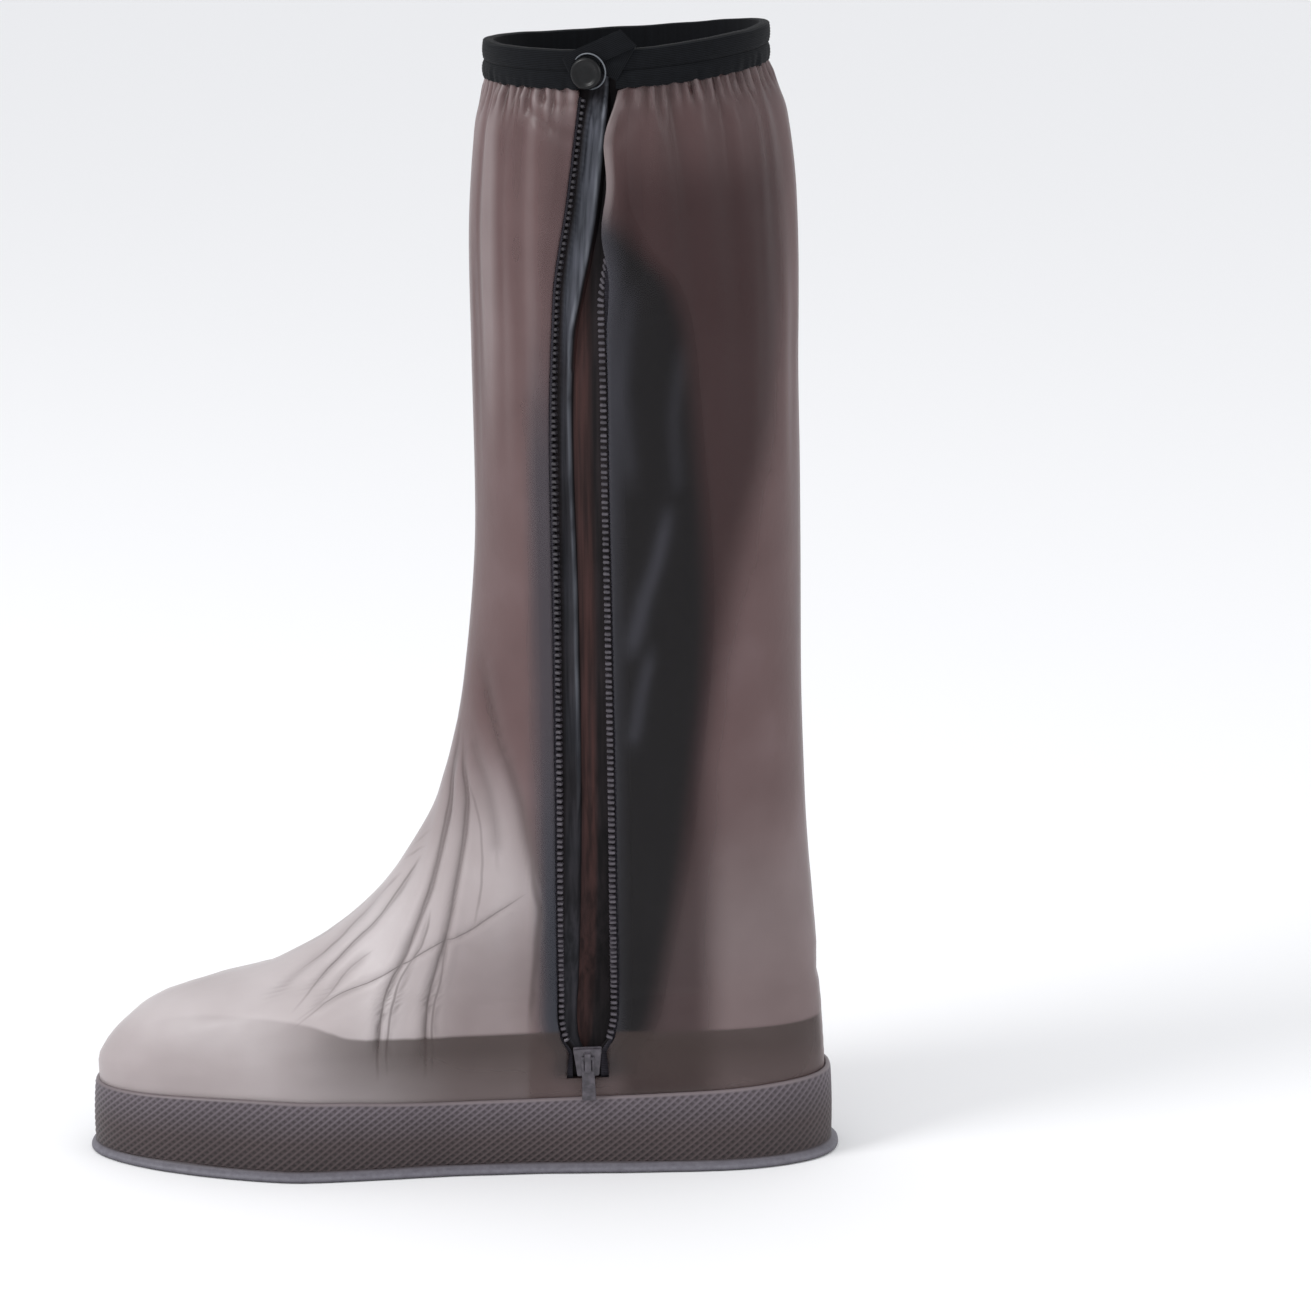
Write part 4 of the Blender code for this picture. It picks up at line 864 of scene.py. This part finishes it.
def cuffPlace(i, j):
    angle = cuffFrom + (cuffTo - cuffFrom) * i / cuff["columns"]
    grow, share = cuffProfile[j % len(cuffProfile)]
    u = topRing.along(angle)
    run = i * cuff["columnRun"]
    pull = 1 - ramp(0.0, 0.5, share)
    grow += cuff["pucker"] * pull * 0.8 * ripple(run / 3.4, 0, 0, 4.0) if grow > form["gap"] else 0
    z = cuffLow(u) + form["cuffHeight"] * share + cuff["pucker"] * pull * ripple(run / 3.0, 0, 0, 8.0)
    z += 0.35 * mm * ripple(run / 16, 0, 0, 6.6) * share
    return grown(topRing.spot(angle), grow, z)


cuffPath = [topRing.point(cuffFrom + (cuffTo - cuffFrom) * k / 200) for k in range(201)]
cuffRun = sum((b - a).length for a, b in zip(cuffPath, cuffPath[1:]))


def cuffFlat(i, j):
    share = cuffProfile[j % len(cuffProfile)][1] if j < ribRows + 8 else 1.3
    return cuffRun * i / cuff["columns"], form["cuffHeight"] * share


cuffBm, _ = makeGrid(cuff["columns"], len(cuffProfile), cuffPlace, cuffFlat)
closeUp(cuffBm, fill=True)

# woven elastic: polyester over rubber threads, matt, near black, its cords painted paler on top as painted highlight
elastic = Look("woven polyester elastic", Roughness=0.86, Specular_IOR_Level=0.12, Sheen_Weight=0.03, Sheen_Roughness=0.45)


def weaveLook(look, dark, light, warp=0.62, weft=0.5, depth=0.16):
    # cords along the band and threads across them, from real spacing in mm, their tops painted lighter and the gaps
    # darker as painted highlight and shade
    flat = look.add("UVMap", {}).outputs["UV"]
    flatX, flatY, _ = look.axes(flat)
    upSine = look.maths("SINE", look.maths("MULTIPLY", flatY, 2 * math.pi / (warp * mm)))
    across = look.maths("MULTIPLY", flatX, 2 * math.pi / (weft * mm))
    acrossSine = look.maths("SINE", look.maths("MULTIPLY_ADD", upSine, 1.6, across))
    height = look.spread(look.maths("MULTIPLY_ADD", acrossSine, 0.45, upSine), -1.45, 1.45)
    uneven = look.maths("MULTIPLY_ADD", look.noise(400.0, at=flat), 0.5, height)
    look.plug(Base_Color=look.tones(uneven, (0.35, dark), (1.0, light)), Normal=look.bump(height, 0.7, depth * mm))


weaveLook(elastic, "#030304", "#15171b")
finishPiece("elastic_cuff", cuffBm, elastic, ["cuff_binding"], 50)
print("cuff made")

strap = {"width": 7.6 * mm, "thickness": 0.8 * mm, "columns": 80, "rows": 16, "layers": (1.15 * mm, 0.15 * mm),
         "start": (-5.5, 1.4), "fold": (15.2, 11.3), "foldLine": (0.687, -0.727), "back": 15.0}
snapX = edgeX(1.0, -1) + form["cuffTail"] / 2
snapZ = cuffLow(topRing.along(topRing.angleAt(snapX))) + form["cuffHeight"] / 2


def cuffFace(along, up, grow):
    # a place on the cuff's outside, along and up from the snap
    flat = topRing.point(topRing.angleAt(snapX + along), cuffShell + grow)
    return Vector((flat.x, flat.y, snapZ + up))


strapStart, strapFold, foldLine = (Vector(strap[k]) for k in ("start", "fold", "foldLine"))
strapAhead = (strapFold - strapStart).normalized()
strapBack = 2 * strapAhead.dot(foldLine) * foldLine - strapAhead  # the ribbon turns over on its fold line
foldHalf = -foldLine * strap["width"] / 2 / mm / abs(strapAhead.cross(foldLine))
strapEnd = strapFold + strapBack * strap["back"]
aheadSide = Vector((-strapAhead.y, strapAhead.x)) * strap["width"] / 2 / mm
backSide = Vector((-strapBack.y, strapBack.x)) * strap["width"] / 2 / mm
if backSide.dot(foldHalf) < 0:
    backSide = -backSide
strapSpans = [(strapFold - strapStart).length, strap["back"]]


def strapPlace(i, j):
    half = strap["columns"] // 2
    across = j / strap["rows"] * 2 - 1
    turn = ramp(half - 2.5, half + 2.5, i)
    if i <= half:
        t = i / half
        rounding = 1 - 0.35 * (1 - ramp(0, 0.12, t)) ** 2
        spot = strapStart.lerp(strapFold, t) + aheadSide.lerp(foldHalf, ramp(0.55, 1.0, t)) * across * rounding
    else:
        t = (i - half) / (strap["columns"] - half)
        spot = strapFold.lerp(strapEnd, t) + foldHalf.lerp(backSide, ramp(0.0, 0.45, t)) * across
    grow = strap["layers"][0] + (strap["layers"][1] - strap["layers"][0]) * turn
    return cuffFace(spot.x * mm, spot.y * mm, grow + strap["thickness"] / 2)


def strapFlat(i, j):
    return sum(strapSpans) * mm * i / strap["columns"], strap["width"] * j / strap["rows"]


strapBm, _ = makeGrid(strap["columns"], strap["rows"], strapPlace, strapFlat)
strapPiece = finishPiece("closing_strap_webbing", strapBm, elastic, ["closing_strap"], 50)
addWall(strapPiece, strap["thickness"], 0)

snap = {"turns": 56, "back": 2.1 * mm, "shift": (1.9 * mm, -1.0 * mm)}
snapProfile = [(0.0, 2.35), (1.2, 2.32), (2.6, 2.25), (3.5, 2.32), (3.95, 2.62), (4.35, 2.92), (4.75, 2.95), (5.15, 2.78), (5.5, 2.40),
               (5.68, 1.85), (5.7, 1.3), (5.62, 0.75), (5.4, 0.35), (4.9, 0.1), (3.2, 0.0), (1.6, 0.0), (1.6, -5.3), (3.9, -5.3),
               (4.0, -5.6), (3.9, -6.1), (3.0, -6.3), (0.0, -6.3)]
snapBm = bmesh.new()
rim = [snapBm.verts.new((r * mm, 0, snap["back"] + z * mm)) for r, z in snapProfile]
rimEdges = [snapBm.edges.new(pair) for pair in zip(rim, rim[1:])]
spinRound(snapBm, rim + rimEdges, snap["turns"])
alongSnap = (cuffFace(2 * mm, 0, 0) - cuffFace(-2 * mm, 0, 0)).normalized()
upward = Vector((0, 0, 1))
snapPlace = Matrix.Translation(cuffFace(*snap["shift"], 0)) @ axesMatrix(alongSnap, upward, alongSnap.cross(upward))
bmesh.ops.transform(snapBm, matrix=snapPlace, verts=snapBm.verts)

# acetal, injection moulded: black, smooth, finely matt in the dish
acetal = Look("moulded black acetal", Roughness=0.32, IOR=1.48, Specular_IOR_Level=0.28)
haze = acetal.noise(900.0, 3.0)
acetal.plug(Base_Color=acetal.tones(haze, (0.3, "#050506"), (0.7, "#0b0c0e")), Roughness=acetal.spread(haze, 0, 1, 0.24, 0.42),
            Normal=acetal.bump(haze, 0.12, 0.05 * mm))
finishPiece("snap_cap", snapBm, acetal, ["snap_button"], 40)
highlightRing = {"radius": 6.3 * mm, "section": 0.28 * mm, "shift": (0.5 * mm, 0.7 * mm), "tilt": 11}
highlightRingBm = bmesh.new()
highlightRingCircle = Matrix.Translation((highlightRing["radius"], 0, 0)) @ Matrix.Rotation(math.pi / 2, 4, "X")
bmesh.ops.create_circle(highlightRingBm, segments=16, radius=highlightRing["section"], matrix=highlightRingCircle)
spinRound(highlightRingBm, highlightRingBm.verts[:] + highlightRingBm.edges[:], 64)
highlightRingShift = Matrix.Translation((*highlightRing["shift"], snap["back"] - 0.3 * mm))
highlightRingTilt = Matrix.Rotation(math.radians(highlightRing["tilt"]), 4, (1, -1, 0))
bmesh.ops.transform(highlightRingBm, matrix=snapPlace @ (highlightRingShift @ highlightRingTilt), verts=highlightRingBm.verts)
# a pale ring under the cap, tilted so that one arc shows: a painted highlight
highlightRingLook = Look("pale ring, painted highlight", Base_Color=toLinear("#5e6268"), Roughness=0.4, IOR=1.53)
finishPiece("snap_highlight_ring", highlightRingBm, highlightRingLook, (), 40)
print("strap and snap made")

zipper = {"pitch": 2.22 * mm, "toothWidth": 2.7 * mm, "toothHeight": 1.35 * mm, "toothDepth": 2.0 * mm, "toothRound": 0.28 * mm,
          "tapeWidth": 7.6 * mm, "tapeWall": 0.7 * mm, "tapeLength": 390.0 * mm, "low": slitLow, "teethLow": 0.056, "top": 0.992}
tapeGrow = -form["filmWall"] - 0.6 * mm


def tapePiece(side, name, node):
    rows, columns = 150, 8

    def place(i, j):
        rise = zipper["low"] + (zipper["top"] - zipper["low"]) * j / rows
        share = i / columns if side > 0 else 1 - i / columns
        narrow = 1 - 0.55 * ramp(0.80, 0.88, rise) if side > 0 else 1.0
        x = rowX(rise, side) + side * (1.3 * mm + (zipper["tapeWidth"] - 1.3 * mm) * share * narrow)
        cord = 0.35 * mm * math.exp(-(share / 0.16) ** 2)  # the corded edge beside the teeth
        return pointAtX(rise, x, tapeGrow + cord + 0.05 * mm * ripple(j / 3, share * 3, 0, side))

    bm, _ = makeGrid(columns, rows, place, lambda i, j: (zipper["tapeWidth"] * i / columns, zipper["tapeLength"] * j / rows))
    piece = finishPiece(name, bm, tapeCloth, [node], 50)
    addWall(piece, zipper["tapeWall"])


# woven polyester zip tape: fine herringbone, matt charcoal, with painted highlight and shade on its weave
tapeCloth = Look("woven polyester zip tape", Roughness=0.82, Specular_IOR_Level=0.25, Sheen_Weight=0.04, Sheen_Roughness=0.4)
weaveLook(tapeCloth, "#17151a", "#35323a", 0.7, 0.6, 0.12)
tapePiece(-1, "front_tape_cloth", "front_zip_tape")
tapePiece(1, "rear_tape_cloth", "rear_zip_tape")

# acetal teeth, moulded onto the tape: charcoal with a satin face that catches the light
toothAcetal = Look("moulded charcoal acetal teeth", Roughness=0.34, IOR=1.48)
toothNoise = toothAcetal.noise(500.0)
toothTone = toothAcetal.tones(toothNoise, (0.35, "#39353b"), (0.7, "#534e55"))
toothAcetal.plug(Base_Color=toothAcetal.mix(toothAcetal.layer("dim")[0], toothTone, "#121114"),
                 Roughness=toothAcetal.spread(toothNoise, 0, 1, 0.26, 0.46))


def teethPiece(side, name, node):
    steps = 900
    course = []
    for k in range(steps + 1):
        rise = zipper["teethLow"] + (zipper["top"] - zipper["teethLow"]) * k / steps
        course.append((rise, pointAtX(rise, rowX(rise, side), 0.0)))
    bm = bmesh.new()
    travelled, due = 0.0, zipper["pitch"] * (0.5 if side > 0 else 0.25)
    for (rise, here), (_, there) in zip(course, course[1:]):
        travelled += (there - here).length
        if travelled < due:
            continue
        due += zipper["pitch"]
        seat = sideFrame(rise, rowX(rise, side), 0.0)
        sunk = 2.4 * mm * ramp(0.79, 0.87, rise) if side > 0 else 0.0  # the rear row is tucked in behind the film near the cuff
        there = there + seat.col[0].to_3d() * sunk * 0.8
        up = (there - here).normalized()
        out = seat.col[2].to_3d()
        across = up.cross(out).normalized()
        middle = there + out * (0.35 * mm - zipper["toothDepth"] / 2 - sunk)
        width = zipper["toothWidth"] * (1.0 if side > 0 else 0.84 - 0.32 * ramp(0.60, 0.80, rise))
        place = Matrix.Translation(middle) @ axesMatrix(across, up, across.cross(up))
        for v in addBlock(bm, place, (width, zipper["toothHeight"], zipper["toothDepth"])):  # the head is narrower than its foot
            rel = v.co - middle
            if rel.dot(out) > 0:
                v.co -= across * rel.dot(across) * 0.16 + up * rel.dot(up) * 0.22
    bevelEdges(bm, bm.edges[:], zipper["toothRound"])
    dim = bm.verts.layers.float_color.new("dim")
    for v in bm.verts:  # the front row lies in shade above the ankle
        shade = (0.62 if side < 0 else 0.15) * ramp(0.12, 0.26, v.co.z)
        v[dim] = (shade, shade, shade, 1)
    return finishPiece(name, bm, toothAcetal, [node], 30)


teethPiece(-1, "front_teeth", "front_zip_teeth")
teethPiece(1, "rear_teeth", "rear_zip_teeth")

slider = {"width": 9.5 * mm, "height": 10.5 * mm, "depth": 4.0 * mm, "pullLength": 17.0 * mm, "pullWidth": 5.0 * mm,
          "pullThickness": 1.2 * mm}
sliderBm = bmesh.new()
sliderFloor = -form["filmWall"] + form["gap"]


def sliderBlock(size, centre, bevel, taper=0.0, segments=3):
    made = addBlock(sliderBm, Matrix.Translation(centre), size)
    for v in made:
        v.co.x *= 1 + taper * (v.co.y - centre[1]) / size[1]
    bevelEdges(sliderBm, list({e for v in made for e in v.link_edges}), bevel, segments)


plateDepth = 1.3 * mm
face = sliderFloor + slider["depth"]
pullTop, pullZ, pullRun = slider["height"] * 0.25, face + 0.8 * mm, slider["pullLength"] - 5 * mm
for size, centre, bevel, taper in (
        ((slider["width"], slider["height"], plateDepth), (0, 0, sliderFloor + plateDepth / 2), 0.5, 0.28),
        ((slider["width"], slider["height"], plateDepth), (0, 0, face - plateDepth / 2), 0.55, 0.28),
        ((2.4 * mm, 4.2 * mm, slider["depth"] - 0.4 * mm), (0, 2.6 * mm, sliderFloor + slider["depth"] / 2), 0.3, 0),
        ((2.4 * mm, 7.2 * mm, 0.9 * mm), (0, 0.4 * mm, face + 2.0 * mm), 0.35, 0),
        ((2.4 * mm, 1.3 * mm, 2.6 * mm), (0, 3.5 * mm, face + 0.9 * mm), 0.35, 0),
        ((2.4 * mm, 1.3 * mm, 2.6 * mm), (0, -2.7 * mm, face + 0.9 * mm), 0.35, 0),
        ((slider["pullWidth"], pullRun, slider["pullThickness"]), (0, pullTop - 5 * mm - pullRun / 2, pullZ), 0.45, -0.12),
        ((1.2 * mm, 6 * mm, slider["pullThickness"]), (-1.9 * mm, pullTop - 3.0 * mm, pullZ), 0.35, 0),
        ((1.2 * mm, 6 * mm, slider["pullThickness"]), (1.9 * mm, pullTop - 3.0 * mm, pullZ), 0.35, 0),
        ((5.0 * mm, 1.3 * mm, slider["pullThickness"]), (0, pullTop - 0.6 * mm, pullZ + 0.1 * mm), 0.35, 0)):
    sliderBlock(size, centre, bevel * mm, taper)
for k in range(4):  # grip ridges on the pull
    sliderBlock((3.2 * mm, 0.7 * mm, 0.5 * mm), (0, pullTop - slider["pullLength"] + (2.2 + 1.6 * k) * mm, pullZ + 0.6 * mm), 0.15 * mm,
                0.0, 1)
bmesh.ops.transform(sliderBm, matrix=sideFrame((slitLow + zipper["teethLow"]) / 2, form["zipCentre"], 0.0), verts=sliderBm.verts)
finishPiece("slider_body", sliderBm, toothAcetal, ["zip_slider"], 35)
print("zip made")

gusset = {"wall": 0.8 * mm, "columns": 84, "rows": 170, "low": slitLow, "seam": 7.5 * mm}
gussetStops = [0, 8, 22, 26, 34, 52, 55, 58, 66, 84]


def gussetPath(rise):
    near = tapeGrow - 1.0 * mm - 2 * form["gap"] - gusset["wall"] / 2
    near -= 1.4 * mm * ramp(0.96, 1.0, rise)
    far = near - 1.0 * mm - 3 * form["gap"]
    front, rear = rowX(rise, -1), rowX(rise, 1)
    fold = rear + gussetReach * steadyCurve(gussetCourse, 1, rise)
    share, out = steadyCurve(gussetCourse, 2, rise), steadyCurve(gussetCourse, 3, rise)
    half = 1.4 * mm
    roomFrom, roomTo = front + half + 1.1 * mm, rear - half - 1.1 * mm
    pleat = roomFrom + (roomTo - roomFrom) * share
    pleatGrow = near + out * (-near - 1.0 * mm)
    middle = (near + far) / 2
    behind = (pleatGrow + far) / 2 if out > 0.3 else far
    return [(front - gusset["seam"], near), (front + half, near), (pleat - 0.3 * mm, pleatGrow), (pleat + 0.7 * mm, behind),
            (pleat + 1.2 * mm, far), (rear + min(gusset["seam"], (fold - rear) * 0.7), far), (fold, middle - 0.6 * mm),
            (fold + 1.0 * mm, middle), (fold, middle + 0.6 * mm), (rear + half, near)]


gussetRises = [gusset["low"] + (1.0 - gusset["low"]) * k / (gusset["rows"] - 6) for k in range(gusset["rows"] - 5)]
gussetRises += [1.05, 1.2, 1.4, 1.6, 1.75, 1.85]  # its tail behind the cuff
gussetRows = []
for rise in gussetRises:
    path = [Vector(p) for p in gussetPath(rise)]
    finely = []
    for k in range(gusset["columns"] + 1):
        n = min(bisect.bisect_right(gussetStops, k) - 1, len(path) - 2)
        t = (k - gussetStops[n]) / (gussetStops[n + 1] - gussetStops[n])
        finely.append(path[n].lerp(path[n + 1], t))
    for _ in range(2):
        finely = [finely[0]] + [(a + 2 * b + c) / 4 for a, b, c in zip(finely, finely[1:], finely[2:])] + [finely[-1]]
    gussetRows.append(finely)


def gussetPlace(i, j):
    rise = gussetRises[j]
    spot = gussetRows[j][i]
    gather = ramp(0.88, 0.98, rise) * (1 - ramp(1.0, 1.04, rise))
    wrinkle = 0.10 * mm * ripple(i / 6, rise * 14, 0, 1.4)
    if 8 < i < 24:
        wrinkle += (0.30 * gather * math.sin(i * 1.15) - 0.3 * (1 - gather) * abs(ripple(i / 5, rise * 9, 0, 3.6))) * mm
    return pointAtX(rise, spot.x, min(spot.y + wrinkle, -0.75 * mm) if 0 < rise < 1.0 else spot.y)


gussetBm, spots = makeGrid(gusset["columns"], len(gussetRises) - 1, gussetPlace, colour="lit")
gussetTint = gussetBm.verts.layers.float_color["lit"]
for v, (i, j) in spots.items():
    rise = gussetRises[j]
    # the standing pleat is painted lit and the rest painted in shade
    pleat = max(steadyCurve(gussetCourse, 3, rise), 0.30 + 0.25 * ripple(0, rise * 16, 0, 5.5)) * ramp(7, 9, i) * (1 - ramp(23, 25, i))
    across = (gussetRows[j][i].x - rowX(rise, -1)) / (rowX(rise, 1) - rowX(rise, -1))
    uneven = 0.55 + 0.9 * abs(ripple(across * 7, rise * 5, 0, 8.3))
    warm = ramp(24, 30, i) * ramp(0.22, 0.36, across) * (1 - ramp(0.60, 0.74, across)) * uneven
    # a painted highlight along the edge of the pleat
    line = ramp(20.5, 22, i) * (1 - ramp(23, 25, i)) * (0.35 + 0.65 * abs(ripple(0, rise * 26, 0, 3.3)) * 2) * ramp(0.25, 0.40, rise)
    v[gussetTint] = (pleat, line, warm, 1)

# thin PU-coated film, folded: blue charcoal, satin, soft creases, with painted light on the standing pleat and its edge
# and painted shade elsewhere
gussetFilm = Look("coated charcoal gusset film", Roughness=0.68, IOR=1.5, Specular_IOR_Level=0.14)
pleatShare, pleatEdgeHighlight, warmShare, _ = gussetFilm.layer("lit")
blot = gussetFilm.noise(45.0, 3.0)
deepTone = gussetFilm.tones(blot, (0.3, "#141113"), (0.7, "#221d1f"))
litTone = gussetFilm.tones(blot, (0.3, "#3b3d43"), (0.7, "#484a52"))
warmMix = gussetFilm.mix(warmShare, gussetFilm.mix(pleatShare, deepTone, litTone), "#3c2725")
stretched = gussetFilm.add("Mapping", {"Vector": gussetFilm.place, "Scale": (1.0, 1.0, 0.035)}).outputs["Vector"]
pleats = gussetFilm.noise(520.0, at=stretched)  # upright folds about 2 mm apart, painted darker in their hollows and paler on their crests
foldShadeAndHighlight = gussetFilm.tones(pleats, (0.36, (0.42, 0.42, 0.44)), (0.5, 0.86), (0.66, (1.25, 1.22, 1.22)))
crepe = gussetFilm.noise(260.0, 4.0)  # 4 mm crepe
gussetFilm.plug(Base_Color=gussetFilm.mix(0.8, gussetFilm.mix(pleatEdgeHighlight, warmMix, "#666970"), foldShadeAndHighlight, "MULTIPLY"),
                Normal=gussetFilm.bump(gussetFilm.maths("ADD", crepe, pleats), 0.35, 0.3 * mm))
gussetPiece = finishPiece("gusset_film", gussetBm, gussetFilm, ["zip_gusset"], 60)
addWall(gussetPiece, gusset["wall"], 0)
print("gusset made")
